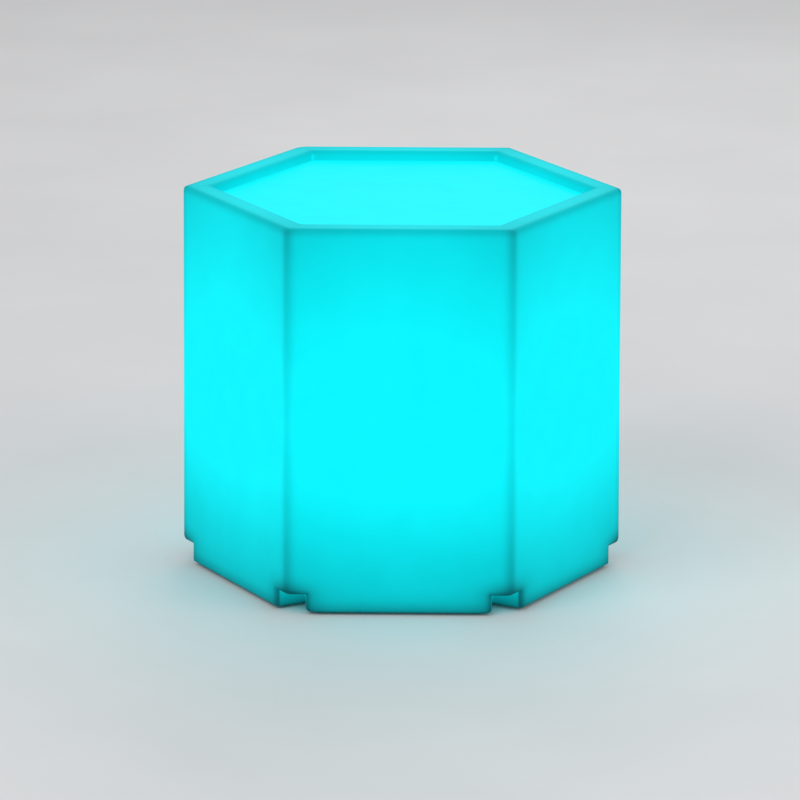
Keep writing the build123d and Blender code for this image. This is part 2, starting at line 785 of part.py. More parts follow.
# Push switch: bezel and square body, hollow for the button's shoulder and spring
bezel_top = roof_z - switch_seal_thickness
bezel_z = bezel_top - switch_bezel_height
switch_top = roof_z + switch_body_height
switch_roof_z = switch_top - switch_roof
shelf_z = bezel_top + switch_shelf
with BuildPart() as switch_body:
    square_block(switch_point, switch_bezel_width, bezel_z, bezel_top)
    square_block(switch_point, switch_width, bezel_top, switch_top)
    posts([switch_point], button_radius + button_clearance, bezel_z, shelf_z, Mode.SUBTRACT)
    hollow_width = switch_width - 2 * switch_wall
    square_block(switch_point, hollow_width, shelf_z, switch_roof_z, Mode.SUBTRACT)
switch_body.part.label = "switch_body"
export_step(switch_body.part, "parts/switch_body.step")

# Button: crown, square shoulder that rests on the shelf, and stem
shoulder_z = shelf_z + spring_seat_gap
shoulder_top = shoulder_z + button_shoulder_height
stem_top = switch_roof_z - button_travel - button_stem_gap
with BuildPart() as power_button:
    posts([switch_point], button_radius, bezel_z - button_stand, shoulder_z)
    chamfer(power_button.faces().sort_by(Axis.Z)[0].edges(), button_crown_chamfer)
    square_block(switch_point, button_shoulder_width, shoulder_z, shoulder_top)
    posts([switch_point], button_stem_radius, shoulder_top, stem_top)
power_button.part.label = "power_button"
export_step(power_button.part, "parts/power_button.step")

# Return spring: one unbroken coil between the shoulder and the roof of the switch
spring_low = shoulder_top + spring_seat_gap + spring_wire_radius
spring_high = switch_roof_z - spring_seat_gap - spring_wire_radius
spring_pitch = (spring_high - spring_low) / spring_turns
with BuildPart() as button_spring:
    with BuildLine() as coil:
        Helix(
            spring_pitch,
            spring_high - spring_low,
            spring_coil_radius,
            center=(switch_point[0], switch_point[1], spring_low),
        )
    with BuildSketch(Plane(origin=coil.line @ 0, z_dir=coil.line % 0)):
        RegularPolygon(spring_wire_radius, spring_wire_sides)
    sweep(is_frenet=True)
button_spring.part.label = "button_spring"
export_step(button_spring.part, "parts/button_spring.step")
coil_points = [coil.line @ (i / 180) for i in range(181)]
turn_step = int(180 / spring_turns)
least_gap = min(
    dist(tuple(coil_points[i]), tuple(coil_points[j])) - 2 * spring_wire_radius
    for i in range(181)
    for j in range(i + turn_step // 2, 181)
)
print("least gap of the spring to itself", round(least_gap, 2))

with BuildPart() as switch_seal:
    seal_outer = switch_bezel_width - 2 * switch_seal_margin
    square_block(switch_point, seal_outer, bezel_top, roof_z)
    square_block(switch_point, switch_hole, bezel_top, roof_z, Mode.SUBTRACT)
switch_seal.part.label = "switch_seal"
export_step(switch_seal.part, "parts/switch_seal.step")

with BuildPart() as switch_clip:
    add(panel_clip(-switch_offset, switch_width))
switch_clip.part.label = "switch_clip"
export_step(switch_clip.part, "parts/switch_clip.step")

with BuildPart() as switch_terminals:
    add(terminal_blades(-switch_offset, switch_top))
switch_terminals.part.label = "switch_terminals"
export_step(switch_terminals.part, "parts/switch_terminals.step")

# Charging socket: flange and square body with a round bore, and its centre pin
socket_z = roof_z - socket_flange_height
socket_top = roof_z + socket_body_height
bore_top = socket_z + socket_bore_depth
with BuildPart() as charge_socket:
    square_block(socket_point, socket_flange_width, socket_z, roof_z)
    square_block(socket_point, socket_width, roof_z, socket_top)
    posts([socket_point], socket_bore_radius, socket_z, bore_top, Mode.SUBTRACT)
charge_socket.part.label = "charge_socket"
export_step(charge_socket.part, "parts/charge_socket.step")

with BuildPart() as socket_pin:
    posts([socket_point], socket_pin_radius, socket_z + socket_pin_recess, bore_top)
socket_pin.part.label = "socket_pin"
export_step(socket_pin.part, "parts/socket_pin.step")

with BuildPart() as socket_clip:
    add(panel_clip(socket_offset, socket_width))
socket_clip.part.label = "socket_clip"
export_step(socket_clip.part, "parts/socket_clip.step")

with BuildPart() as socket_terminals:
    add(terminal_blades(socket_offset, socket_top))
socket_terminals.part.label = "socket_terminals"
export_step(socket_terminals.part, "parts/socket_terminals.step")

# Hinged cover: plate with a stub in the socket, an arm and a knuckle between the ears
cover_top = socket_z - cover_gap
cover_z = cover_top - cover_thickness
with BuildPart() as socket_cover:
    square_block(socket_point, cover_width, cover_z, cover_top)
    with BuildSketch(Plane.XY.offset(cover_z)):
        with Locations((hinge_x + cover_hinge_distance / 2, -pocket_offset)):
            Rectangle(cover_hinge_distance, cover_knuckle_length)
    extrude(amount=cover_thickness)
    posts([socket_point], cover_stub_radius, cover_top, cover_top + cover_stub_length)
    with BuildSketch(Plane.XZ.offset(pocket_offset)):
        with Locations((hinge_x, hinge_z)):
            RegularPolygon(cover_knuckle_radius, hinge_facets)
    extrude(amount=cover_knuckle_length / 2, both=True)
    with BuildSketch(Plane.XZ.offset(pocket_offset)):
        with Locations((hinge_x, hinge_z)):
            RegularPolygon(hinge_hole_radius, hinge_facets)
    extrude(amount=cover_knuckle_length / 2, both=True, mode=Mode.SUBTRACT)
socket_cover.part.label = "socket_cover"
export_step(socket_cover.part, "parts/socket_cover.step")

with BuildPart() as cover_pin:
    with BuildSketch(Plane.XZ.offset(pocket_offset)):
        with Locations((hinge_x, hinge_z)):
            RegularPolygon(hinge_pin_radius, hinge_facets)
    extrude(amount=ear_inner + hinge_ear_thickness, both=True)
cover_pin.part.label = "cover_pin"
export_step(cover_pin.part, "parts/cover_pin.step")

# Charge light: a lamp with a bevelled nose, whose collar rests on the pocket's roof
light_top = roof_top + light_collar_height
with BuildPart() as charge_light:
    faceted_posts([light_point], light_radius, light_facets, roof_top - light_height, roof_top)
    chamfer(charge_light.faces().sort_by(Axis.Z)[0].edges(), light_nose_chamfer)
    faceted_posts([light_point], light_collar_radius, light_facets, roof_top, light_top)
charge_light.part.label = "charge_light"
export_step(charge_light.part, "parts/charge_light.step")

# Leads: each rises, crosses over the board and goes down into its connector
terminal_top = switch_top + terminal_height


def connector_lead(x: float, start_y: float, start_z: float) -> Part:
    """Flat lead from a terminal to the row of connectors, at one X."""
    return flat_lead(
        Plane.YZ.offset(x),
        (start_y, start_z),
        (start_y, lead_z),
        (connector_row_offset, lead_z),
        (connector_row_offset, connector_top),
    )


with BuildPart() as switch_leads:
    add(connector_lead(-switch_offset, -pocket_offset, terminal_top))
switch_leads.part.label = "switch_leads"
export_step(switch_leads.part, "parts/switch_leads.step")

with BuildPart() as socket_leads:
    add(connector_lead(socket_offset, -pocket_offset, terminal_top))
socket_leads.part.label = "socket_leads"
export_step(socket_leads.part, "parts/socket_leads.step")

with BuildPart() as light_leads:
    add(connector_lead(-light_offset_x, -light_offset_y, light_top))
light_leads.part.label = "light_leads"
export_step(light_leads.part, "parts/light_leads.step")

with BuildPart() as led_leads:
    led_route = flat_lead(
        Plane.YZ,
        (connector_row_offset, connector_top),
        (connector_row_offset, lead_z),
        (-wire_hole_offset, lead_z),
        (-wire_hole_offset, tub_top),
    )
    add(led_route)
led_leads.part.label = "led_leads"
export_step(led_leads.part, "parts/led_leads.step")

with BuildPart() as battery_leads:
    tab_x = -cell_length / 2 - tab_thickness
    battery_route = flat_lead(
        Plane.XZ.offset(-battery_offset),
        (tab_x, cell_z),
        (tab_x - lead_reach, cell_z),
        (tab_x - lead_reach, lead_z),
        (-battery_connector_x, lead_z),
        (-battery_connector_x, connector_top),
    )
    add(battery_route)
battery_leads.part.label = "battery_leads"
export_step(battery_leads.part, "parts/battery_leads.step")
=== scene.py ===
"""Studio scene of a light-up hexagonal plinth table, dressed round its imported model.

Lengths are in metres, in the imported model's frame: the origin is the centre of the plan on
the floor, +Z is up, and two of the plinth's six corners lie on the X axis.
"""

from __future__ import annotations

import logging
import math
from dataclasses import asdict, dataclass
from enum import Enum
from typing import Any, Iterable, Sequence

import bmesh
import bpy
from mathutils import Matrix, Vector


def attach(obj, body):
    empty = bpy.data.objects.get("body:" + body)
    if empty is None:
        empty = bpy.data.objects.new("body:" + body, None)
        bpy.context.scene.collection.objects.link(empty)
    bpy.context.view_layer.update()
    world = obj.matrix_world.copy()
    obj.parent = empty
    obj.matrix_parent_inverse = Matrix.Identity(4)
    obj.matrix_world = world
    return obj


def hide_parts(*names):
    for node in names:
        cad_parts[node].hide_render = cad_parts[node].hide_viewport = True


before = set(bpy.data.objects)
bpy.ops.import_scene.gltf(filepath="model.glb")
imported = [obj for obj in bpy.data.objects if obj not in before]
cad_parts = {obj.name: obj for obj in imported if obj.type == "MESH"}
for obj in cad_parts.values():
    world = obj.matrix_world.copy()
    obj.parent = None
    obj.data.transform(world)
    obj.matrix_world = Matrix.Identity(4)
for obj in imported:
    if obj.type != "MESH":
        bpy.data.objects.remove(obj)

Triple = tuple[float, float, float]
Colour = Triple
Point = Triple
Socket = bpy.types.NodeSocket
Value = Any

MM = 0.001
SIDES = 6
SECTOR = math.tau / SIDES
HALF_SECTOR = SECTOR / 2
TO_CORNER = 1 / math.cos(HALF_SECTOR)
NOISE_LOW, NOISE_HIGH = 0.3, 0.7
GEOMETRY = "NodeSocketGeometry"

log = logging.getLogger("plinth")


class Body(Enum):
    """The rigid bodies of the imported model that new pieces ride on."""

    PLINTH = "plinth"
    BUTTON = "button"


class Slot(Enum):
    """The record's material slots; a set of turned pieces carries one, but takes its finish from
    its own finish.
    """

    SHELL = "shell"
    FOOT = "foot_rubber"
    INSERT = "insert_brass"
    SCREW = "screw_steel"
    CELL = "cell_wrap"
    LIGHT = "light_chip"
    CAPACITOR = "capacitor_can"
    BUTTON = "button_plastic"


class Kind(Enum):
    """The socket types of a geometry tree's inputs."""

    LENGTH = "NodeSocketFloat"
    COUNT = "NodeSocketInt"
    FINISH = "NodeSocketMaterial"


class Tree:
    """A node tree under construction, with short ways to add and link its nodes."""

    def __init__(self, tree: bpy.types.NodeTree) -> None:
        """Takes up a tree.

        Args:
            tree: The tree that the nodes go into.
        """
        self.tree = tree

    def feed(self, target: Socket, value: Value) -> None:
        """Links a socket to another, or sets its plain value."""
        if isinstance(value, bpy.types.NodeSocket):
            self.tree.links.new(value, target)
        else:
            target.default_value = value

    def node(self, kind: str, *values: Value, **settings: Any) -> bpy.types.Node:
        """Adds a node.

        Args:
            kind: The node's type name.
            values: Values or sockets for its inputs, in their order.
            settings: Properties to set on it.

        Returns:
            The new node.
        """
        made = self.tree.nodes.new(kind)
        for name, value in settings.items():
            setattr(made, name, value)
        for target, value in zip(made.inputs, values):
            self.feed(target, value)
        return made

    def math(self, operation: str, *values: Value, clamp: bool = False) -> Socket:
        """Adds a Math node.

        Args:
            operation: The operation's name.
            values: Sockets or numbers for its inputs.
            clamp: Whether the result is held between 0 and 1.

        Returns:
            The result's socket.
        """
        made = self.node("ShaderNodeMath", *values, operation=operation, use_clamp=clamp)
        return made.outputs[0]


class Shader(Tree):
    """A node material under construction."""

    def __init__(self, name: str) -> None:
        """Starts the material.

        Args:
            name: The material's name.
        """
        self.material = bpy.data.materials.new(name)
        self.material.use_nodes = True
        super().__init__(self.material.node_tree)
        self.surface = self.tree.nodes["Principled BSDF"]
        self.place = self.node("ShaderNodeTexCoord").outputs["Object"]

    def axes(self) -> bpy.types.NodeOutputs:
        """Splits the object's own coordinates into X, Y and Z."""
        return self.node("ShaderNodeSeparateXYZ", self.place).outputs

    def noise(self, scale: float, detail: float = 2.0, stretch: Triple | None = None) -> Socket:
        """Adds noise on the object's own coordinates.

        Args:
            scale: Features per metre.
            detail: Octaves of finer noise.
            stretch: How much each axis is scaled first, for streaks.

        Returns:
            The noise's factor.
        """
        place = self.place
        if stretch:
            mapping = self.node("ShaderNodeMapping", place)
            mapping.inputs["Scale"].default_value = stretch
            place = mapping.outputs["Vector"]
        made = self.node("ShaderNodeTexNoise", place)
        made.inputs["Scale"].default_value = scale
        made.inputs["Detail"].default_value = detail
        return made.outputs["Fac"]

    def ramp(
        self,
        factor: Socket,
        reach: Sequence[float],
        values: Sequence[float],
        kind: str = "LINEAR",
    ) -> Socket:
        """Maps a factor from one range to another and holds it at both ends.

        Args:
            factor: The factor.
            reach: Start and end of its own range.
            values: The results at the start and at the end.
            kind: How the result goes from one to the other.

        Returns:
            The result's socket.
        """
        made = self.node("ShaderNodeMapRange", factor, *reach, *values, interpolation_type=kind)
        return made.outputs["Result"]

    def spread(self, noise: Socket, low: float, high: float) -> Socket:
        """Maps noise round its middle to the range from low to high."""
        return self.ramp(noise, (NOISE_LOW, NOISE_HIGH), (low, high))

    def mix(self, factor: Socket, first: Colour, second: Colour) -> Socket:
        """Mixes two colours by a factor.

        Args:
            factor: Share of the second colour.
            first: The first colour.
            second: The second colour.

        Returns:
            The mixed colour's socket.
        """
        made = self.node("ShaderNodeMix", data_type="RGBA")
        self.feed(made.inputs["Factor"], factor)
        self.feed(made.inputs["A"], (*first, 1.0))
        self.feed(made.inputs["B"], (*second, 1.0))
        return made.outputs["Result"]

    def tone(self, noise: Socket, colour: Colour, dark: float, bright: float = 1.0) -> Socket:
        """Varies a colour between a darker and a brighter shade of it by noise."""
        tones = shade(colour, dark), shade(colour, bright)
        return self.mix(self.spread(noise, 0.0, 1.0), *tones)

    def relief(self, height: Socket, depth: float, strength: float = 1.0) -> None:
        """Bumps the surface by a height, after any bump that it already has.

        Args:
            height: The height, from 0 to 1.
            depth: Real depth of a height of 1.
            strength: Share of the bump that shows.
        """
        bump = self.node("ShaderNodeBump")
        bump.inputs["Strength"].default_value = strength
        bump.inputs["Distance"].default_value = depth
        self.feed(bump.inputs["Height"], height)
        normal = self.surface.inputs["Normal"]
        if normal.is_linked:
            self.feed(bump.inputs["Normal"], normal.links[0].from_socket)
        self.feed(normal, bump.outputs["Normal"])

    def set(self, **values: Value) -> None:
        """Sets or links the surface's inputs; an underscore stands for a space."""
        for name, value in values.items():
            self.feed(self.surface.inputs[name.replace("_", " ")], value)


@dataclass(frozen=True)
class Finish:
    """A named surface finish; each kind of finish paints its own shader."""

    name: str

    def paint(self, shader: Shader) -> None:
        """Sets up the shader's nodes.

        Args:
            shader: The material under construction.
        """
        raise NotImplementedError

    def make(self) -> bpy.types.Material:
        """Builds the finish as a material.

        Returns:
            The new material.
        """
        shader = Shader(self.name)
        self.paint(shader)
        return shader.material


def shade(colour: Colour, factor: float) -> Colour:
    """A colour made darker or lighter by a factor."""
    return tuple(min(1.0, channel * factor) for channel in colour)


@dataclass(frozen=True)
class Moulded(Finish):
    """Moulded plastic or rubber: fine grain, faint flow marks and duller handled patches."""

    colour: Colour = (0.8, 0.8, 0.8)
    roughness: float = 0.45
    grain: float = 0.7 * MM
    depth: float = 0.03 * MM
    coat: float = 0.0
    mottle: float = 0.12
    flow_share: float = 0.35

    def paint(self, shader: Shader) -> None:
        """Sets up the shader's nodes.

        Args:
            shader: The material under construction.
        """
        cloud = shader.noise(45.0, 3.0)
        flow = shader.noise(120.0, 1.0, (1.0, 1.0, 0.15))
        rest = shader.math("MULTIPLY", cloud, 1 - self.flow_share)
        mixed = shader.math("MULTIPLY_ADD", flow, self.flow_share, rest)
        tint = shader.tone(mixed, self.colour, 1 - self.mottle, 1 + self.mottle)
        rough = shader.spread(cloud, self.roughness - 0.07, self.roughness + 0.09)
        shader.set(Base_Color=tint, Roughness=rough, Coat_Weight=self.coat)
        shader.relief(shader.noise(1 / self.grain, 2.0), self.depth, 0.6)


@dataclass(frozen=True)
class Metal(Finish):
    """Plated, rolled or drawn metal with fine streaks and a little tarnish."""

    colour: Colour = (0.7, 0.7, 0.7)
    roughness: float = 0.3
    streak: Triple = (1.0, 1.0, 0.06)
    tarnish: float = 0.78

    def paint(self, shader: Shader) -> None:
        """Sets up the shader's nodes.

        Args:
            shader: The material under construction.
        """
        lines = shader.noise(2600.0, 2.0, self.streak)
        tint = shader.tone(shader.noise(160.0, 4.0), self.colour, self.tarnish)
        rough = shader.spread(lines, self.roughness - 0.08, self.roughness + 0.12)
        shader.set(Base_Color=tint, Roughness=rough, Metallic=1.0)
        shader.relief(lines, 0.006 * MM, 0.5)


@dataclass(frozen=True)
class Lacquer(Finish):
    """A circuit board's lacquer over copper tracks that show as raised, paler lines."""

    colour: Colour = (0.02, 0.20, 0.09)
    track: Colour = (0.05, 0.32, 0.14)
    pitch: float = 2.4 * MM

    def paint(self, shader: Shader) -> None:
        """Sets up the shader's nodes.

        Args:
            shader: The material under construction.
        """
        layout = {"offset": 0.35, "squash": 0.6, "squash_frequency": 3}
        tracks = shader.node("ShaderNodeTexBrick", shader.place, **layout)
        sizes = {"Scale": 0.25 / self.pitch, "Mortar Size": 0.035, "Mortar Smooth": 0.2}
        for name, value in sizes.items():
            shader.feed(tracks.inputs[name], value)
        lines = tracks.outputs["Fac"]
        cloud = shader.spread(shader.noise(90.0, 2.0), 0.30, 0.44)
        tint = shader.mix(lines, self.colour, self.track)
        shader.set(Base_Color=tint, Roughness=cloud, Coat_Weight=0.35)
        shader.relief(lines, 0.04 * MM, 0.8)


@dataclass(frozen=True)
class Resin(Finish):
    """Clear resin over a lit chip: a bright middle in a paler body, with a wet gloss."""

    colour: Colour = (0.7, 0.95, 0.95)
    glow: Colour = (0.1, 0.95, 1.0)
    low: float = 56.7 * MM
    high: float = 57.1 * MM
    ember: float = 0.05

    def paint(self, shader: Shader) -> None:
        """Sets up the shader's nodes.

        Args:
            shader: The material under construction.
        """
        lens = shader.ramp(shader.axes()["Z"], (self.low, self.high), (self.ember, 1.0))
        spots = shader.noise(700.0, 2.0)
        tint = shader.tone(spots, self.colour, 0.85)
        shader.set(Base_Color=tint, Roughness=shader.spread(spots, 0.12, 0.26), Coat_Weight=0.5)
        shader.set(Emission_Color=(*self.glow, 1.0), Emission_Strength=lens)
        shader.relief(spots, 0.02 * MM, 0.4)


@dataclass(frozen=True)
class Sleeve(Finish):
    """Shrink sleeve with soft wrinkles, and the bare metal past its end along one axis."""

    colour: Colour = (0.06, 0.24, 0.46)
    metal: Colour = (0.72, 0.72, 0.74)
    ripple: Triple = (0.2, 1.0, 1.0)
    axis: int = 0
    bare: float = 31.7 * MM

    def paint(self, shader: Shader) -> None:
        """Sets up the shader's nodes.

        Args:
            shader: The material under construction.
        """
        along = shader.math("ABSOLUTE", shader.axes()[self.axis])
        metal = shader.math("GREATER_THAN", along, self.bare)
        wrinkle = shader.noise(260.0, 2.0, self.ripple)
        tint = shader.mix(metal, self.colour, self.metal)
        shader.feed(tint.node.inputs["A"], shader.tone(wrinkle, self.colour, 0.85, 1.15))
        rough = shader.spread(wrinkle, 0.22, 0.36)
        shader.set(Base_Color=tint, Metallic=metal, Roughness=rough, Coat_Weight=0.2)
        shader.relief(wrinkle, 0.12 * MM, 0.5)


@dataclass(frozen=True)
class Opal(Finish):
    """Opal diffuser: milky plastic with a painted glow for the light through it, brightest low
    round the lights.
    """

    colour: Colour = (0.75, 0.93, 0.93)
    glow: Colour = (0.0, 0.55, 0.62)
    low: float = 58.0 * MM
    high: float = 100.0 * MM
    crown: float = 0.55

    def paint(self, shader: Shader) -> None:
        """Sets up the shader's nodes.

        Args:
            shader: The material under construction.
        """
        light = shader.ramp(shader.axes()["Z"], (self.low, self.high), (1.0, self.crown))
        cloud = shader.noise(60.0, 2.0)
        tint = shader.tone(cloud, self.colour, 0.92)
        shader.set(Base_Color=tint, Roughness=shader.spread(cloud, 0.38, 0.5))
        # Painted glow: emission graded by height stands in for the lights' glow through the
        # diffuser.
        shader.set(Emission_Color=(*self.glow, 1.0), Emission_Strength=light)
        shader.relief(shader.noise(1500.0, 1.0), 0.02 * MM, 0.4)


@dataclass(frozen=True)
class ShellSizes:
    """The plinth shell's driving sizes, as its solid has them."""

    vertex_radius: float = 250.0 * MM
    height: float = 437.5 * MM
    stand: float = 3.0 * MM
    wall: float = 4.0 * MM
    draft: float = math.radians(0.27)
    rim_width: float = 29.0 * MM
    recess_depth: float = 11.0 * MM
    notch_reach: float = 22.0 * MM
    notch_depth: float = 45.0 * MM
    notch_height: float = 19.3 * MM
    seat_apothem: float = 83.5 * MM
    seat_recess: float = 9.0 * MM
    port_apothem: float = 66.0 * MM
    boss_circle: float = 76.0 * MM
    boss_radius: float = 7.5 * MM
    boss_height: float = 14.0 * MM
    insert_radius: float = 4.0 * MM
    insert_length: float = 11.0 * MM
    foot_circle: float = 172.0 * MM
    stem_radius: float = 3.6 * MM

    def apothem(self, z: float) -> float:
        """Distance from the axis to a face of the tapered shell at a height."""
        drop = (z - self.stand) * math.tan(self.draft)
        return self.vertex_radius * math.cos(HALF_SECTOR) - drop

    @property
    def seat(self) -> float:
        """Height of the seat that the lamp unit is screwed up to."""
        return self.stand + self.seat_recess

    @property
    def roof(self) -> float:
        """Height of the notches' roofs."""
        return self.stand + self.notch_height

    @property
    def recess_apothem(self) -> float:
        """Distance from the axis to a wall of the recess."""
        return self.apothem(self.height) - self.rim_width

    @property
    def flare(self) -> float:
        """Angle of a notch's side wall from the radius through its corner.

        Returns:
            The angle in radians.
        """
        mouth_x = self.vertex_radius - self.notch_reach * math.sin(HALF_SECTOR)
        mouth_y = self.notch_reach * math.cos(HALF_SECTOR)
        return math.atan2(mouth_y, mouth_x - (self.vertex_radius - self.notch_depth))


@dataclass(frozen=True)
class PaintedShadeBand:
    """A band of painted shade where the wall turns: how dark it gets and how wide it is."""

    depth: float
    width: float


@dataclass(frozen=True)
class PaintedGlowShell(Finish):
    """Milky moulding with a painted cyan glow that stands in for the lamp's light through it:
    brightest at mid-height, with painted shade where it turns.

    The body's share is the light that the studio adds to the painted glow. The bow is how
    much painted shade darkens a face from its middle to its corners, and the edge is a line of
    painted shade along a corner. The brow is a wide band of painted shadow over a notch, and
    the hollow is the painted light on the notch's own walls, from their foot to its roof. The
    ladder holds heights in millimetres with the painted light there.
    """

    sizes: ShellSizes = ShellSizes()
    glow: Colour = (0.0, 0.922, 1.0)
    # The body colour is a dark cyan that stands in for the glow's tint on the milky plastic.
    body: Colour = (0.004, 0.16, 0.18)
    body_share: float = 0.13
    ceiling: float = 1.0
    cloud: float = 0.015
    waist: float = 225.0 * MM
    waist_half: float = 200.0 * MM
    bow: float = 0.06
    bow_gain: float = 0.09
    edge: PaintedShadeBand = PaintedShadeBand(0.20, 7.5 * MM)
    edge_gain: float = 0.16
    gloss: float = 0.01
    top: PaintedShadeBand = PaintedShadeBand(0.30, 6.5 * MM)
    lip: PaintedShadeBand = PaintedShadeBand(0.16, 5.0 * MM)
    notch: PaintedShadeBand = PaintedShadeBand(0.45, 5.0 * MM)
    brow: PaintedShadeBand = PaintedShadeBand(0.70, 14.0 * MM)
    brow_reach: float = 0.5
    tray: float = 0.42
    tray_soft: float = 4.0 * MM
    tray_under: float = 17.6 * MM
    hollow: tuple[float, float] = (0.18, 0.56)
    hollow_soft: float = 3.0 * MM
    hollow_over: float = 1.0 * MM
    ladder_scale: float = 0.8
    ladder: tuple[tuple[float, float], ...] = (
        (3.0, 0.20),
        (12.0, 0.46),
        (24.0, 0.62),
        (64.0, 0.77),
        (120.0, 0.97),
        (178.0, 1.12),
        (208.0, 1.16),
        (308.0, 1.03),
        (435.0, 0.80),
    )

    def fold(self, shader: Shader) -> tuple[Socket, Socket, Socket]:
        """Folds a point into the sector of the face that it belongs to.

        Args:
            shader: The material under construction.

        Returns:
            Its distance from the axis along the face's normal, its distance from the
            face's middle line, and its height.
        """
        x, y, z = shader.axes()
        angle = shader.math("ADD", shader.math("ARCTAN2", y, x), math.tau)
        local = shader.math("SUBTRACT", shader.math("MODULO", angle, SECTOR), HALF_SECTOR)
        squares = shader.math("MULTIPLY_ADD", y, y, shader.math("MULTIPLY", x, x))
        radius = shader.math("SQRT", squares)
        normal = shader.math("MULTIPLY", radius, shader.math("COSINE", local))
        aside = shader.math("MULTIPLY", radius, shader.math("SINE", local))
        return normal, shader.math("ABSOLUTE", aside), z

    def paint_shade(
        self,
        shader: Shader,
        light: Socket,
        away: tuple[Socket, Socket],
        band: PaintedShadeBand,
        depth: Socket | None = None,
    ) -> Socket:
        """Paints a band of shade into the light towards the line where two distances are nothing.

        Args:
            shader: The material under construction.
            light: The light so far.
            away: Distances from the line, one way and the other.
            band: How dark and how wide the band is.
            depth: A depth that varies, in place of the band's own.

        Returns:
            The light with the band in it.
        """
        first, second = away
        squares = shader.math("MULTIPLY_ADD", first, first, shader.math("MULTIPLY", second, second))
        power = shader.math("MULTIPLY", squares, -1 / band.width**2)
        bell = shader.math("EXPONENT", power)
        loss = shader.math("MULTIPLY", bell, band.depth if depth is None else depth)
        return shader.math("MULTIPLY", light, shader.math("SUBTRACT", 1.0, loss))

    def climb(self, shader: Shader, z: Socket) -> Socket:
        """Painted brightness up the shell, from its dim foot to its bright waist and softer top.

        Args:
            shader: The material under construction.
            z: Height.

        Returns:
            The light at that height.
        """
        top, scale = self.sizes.height, self.ladder_scale
        curve = shader.node("ShaderNodeFloatCurve")
        shader.feed(curve.inputs["Value"], shader.math("DIVIDE", z, top, clamp=True))
        line = curve.mapping.curves[0]
        first, *between, last = [(rung * MM / top, light * scale) for rung, light in self.ladder]
        line.points[0].location = first
        line.points[1].location = last
        for point in between:
            line.points.new(*point)
        curve.mapping.update()
        return shader.math("DIVIDE", curve.outputs["Value"], scale)

    def notch_light(self, shader: Shader, light: Socket, depth: Socket, z: Socket) -> Socket:
        """Paints even light on the walls inside the corner notches.

        Args:
            shader: The material under construction.
            light: The light so far.
            depth: Distance behind the face.
            z: Height.

        Returns:
            The light with the notches' own in its place.
        """
        soft = self.hollow_soft
        inside = shader.ramp(depth, (soft, 2 * soft), (0.0, 1.0), "SMOOTHSTEP")
        low = shader.math("LESS_THAN", z, self.sizes.roof + self.hollow_over)
        share = shader.math("MULTIPLY", inside, low)
        own = shader.ramp(z, (self.sizes.stand, self.sizes.roof), self.hollow)
        gain = shader.math("SUBTRACT", own, light)
        return shader.math("MULTIPLY_ADD", share, gain, light)

    def tray_light(self, shader: Shader, light: Socket, from_wall: Socket, z: Socket) -> Socket:
        """Paints extra light on the floor of the recess.

        Args:
            shader: The material under construction.
            light: The light so far.
            from_wall: Distance outwards from the recess's wall.
            z: Height.

        Returns:
            The light with the floor's gain.
        """
        tray = shader.ramp(from_wall, (0.0, -self.tray_soft), (0.0, self.tray), "SMOOTHSTEP")
        high = shader.math("GREATER_THAN", z, self.sizes.height - self.tray_under)
        return shader.math("ADD", light, shader.math("MULTIPLY", tray, high))

    def light(self, shader: Shader) -> Socket:
        """Painted light that leaves the shell at a point, before the studio's share comes off.

        Args:
            shader: The material under construction.

        Returns:
            The light, from 0 to the ceiling.
        """
        sizes = self.sizes
        normal, across, z = self.fold(shader)
        waist = shader.math("DIVIDE", shader.math("SUBTRACT", z, self.waist), self.waist_half)
        away = shader.math("MULTIPLY", waist, waist)
        half_width = sizes.apothem(self.waist) * math.tan(HALF_SECTOR)
        from_corner = shader.math("SUBTRACT", half_width, across)
        below_top = shader.math("SUBTRACT", sizes.height, z)
        behind_face = shader.math("SUBTRACT", sizes.apothem(self.waist), normal)
        behind_top = shader.math("SUBTRACT", sizes.apothem(sizes.height), normal)
        from_wall = shader.math("SUBTRACT", normal, sizes.recess_apothem)

        # Painted shade: each face darkens towards its corners, along each corner and along the top.
        bow = shader.math("DIVIDE", across, half_width)
        fall = shader.math("MULTIPLY_ADD", away, self.bow_gain, self.bow)
        bowed = shader.math("MULTIPLY", shader.math("MULTIPLY", bow, bow), fall)
        face = shader.math("SUBTRACT", 1.0, bowed)
        light = shader.math("MULTIPLY", self.climb(shader, z), face)
        edge_depth = shader.math("MULTIPLY_ADD", away, self.edge_gain, self.edge.depth)
        light = self.paint_shade(shader, light, (from_corner, behind_face), self.edge, edge_depth)
        light = self.paint_shade(shader, light, (behind_top, below_top), self.top)

        # Painted light on the recess floor, and painted shade along its lip.
        light = self.tray_light(shader, light, from_wall, z)
        light = self.paint_shade(shader, light, (from_wall, below_top), self.lip)

        # Painted shade round each notch's mouth, a wide painted shadow over it, and painted light
        # on its walls.
        mouth = shader.math("SUBTRACT", half_width - sizes.notch_reach, across)
        beside = shader.math("MAXIMUM", mouth, 0.0)
        above = shader.math("MAXIMUM", shader.math("SUBTRACT", z, sizes.roof), 0.0)
        light = self.paint_shade(shader, light, (beside, above), self.notch)
        brow = shader.math("MULTIPLY", from_corner, self.brow_reach)
        light = self.paint_shade(shader, light, (brow, above), self.brow)
        behind_roof = shader.math("SUBTRACT", sizes.apothem(sizes.roof), normal)
        light = self.notch_light(shader, light, behind_roof, z)

        cloud = shader.spread(shader.noise(7.0, 3.0), 1 - self.cloud, 1 + self.cloud)
        return shader.math("MINIMUM", shader.math("MULTIPLY", light, cloud), self.ceiling)

    def paint(self, shader: Shader) -> None:
        """Sets up the shader's nodes.

        Args:
            shader: The material under construction.
        """
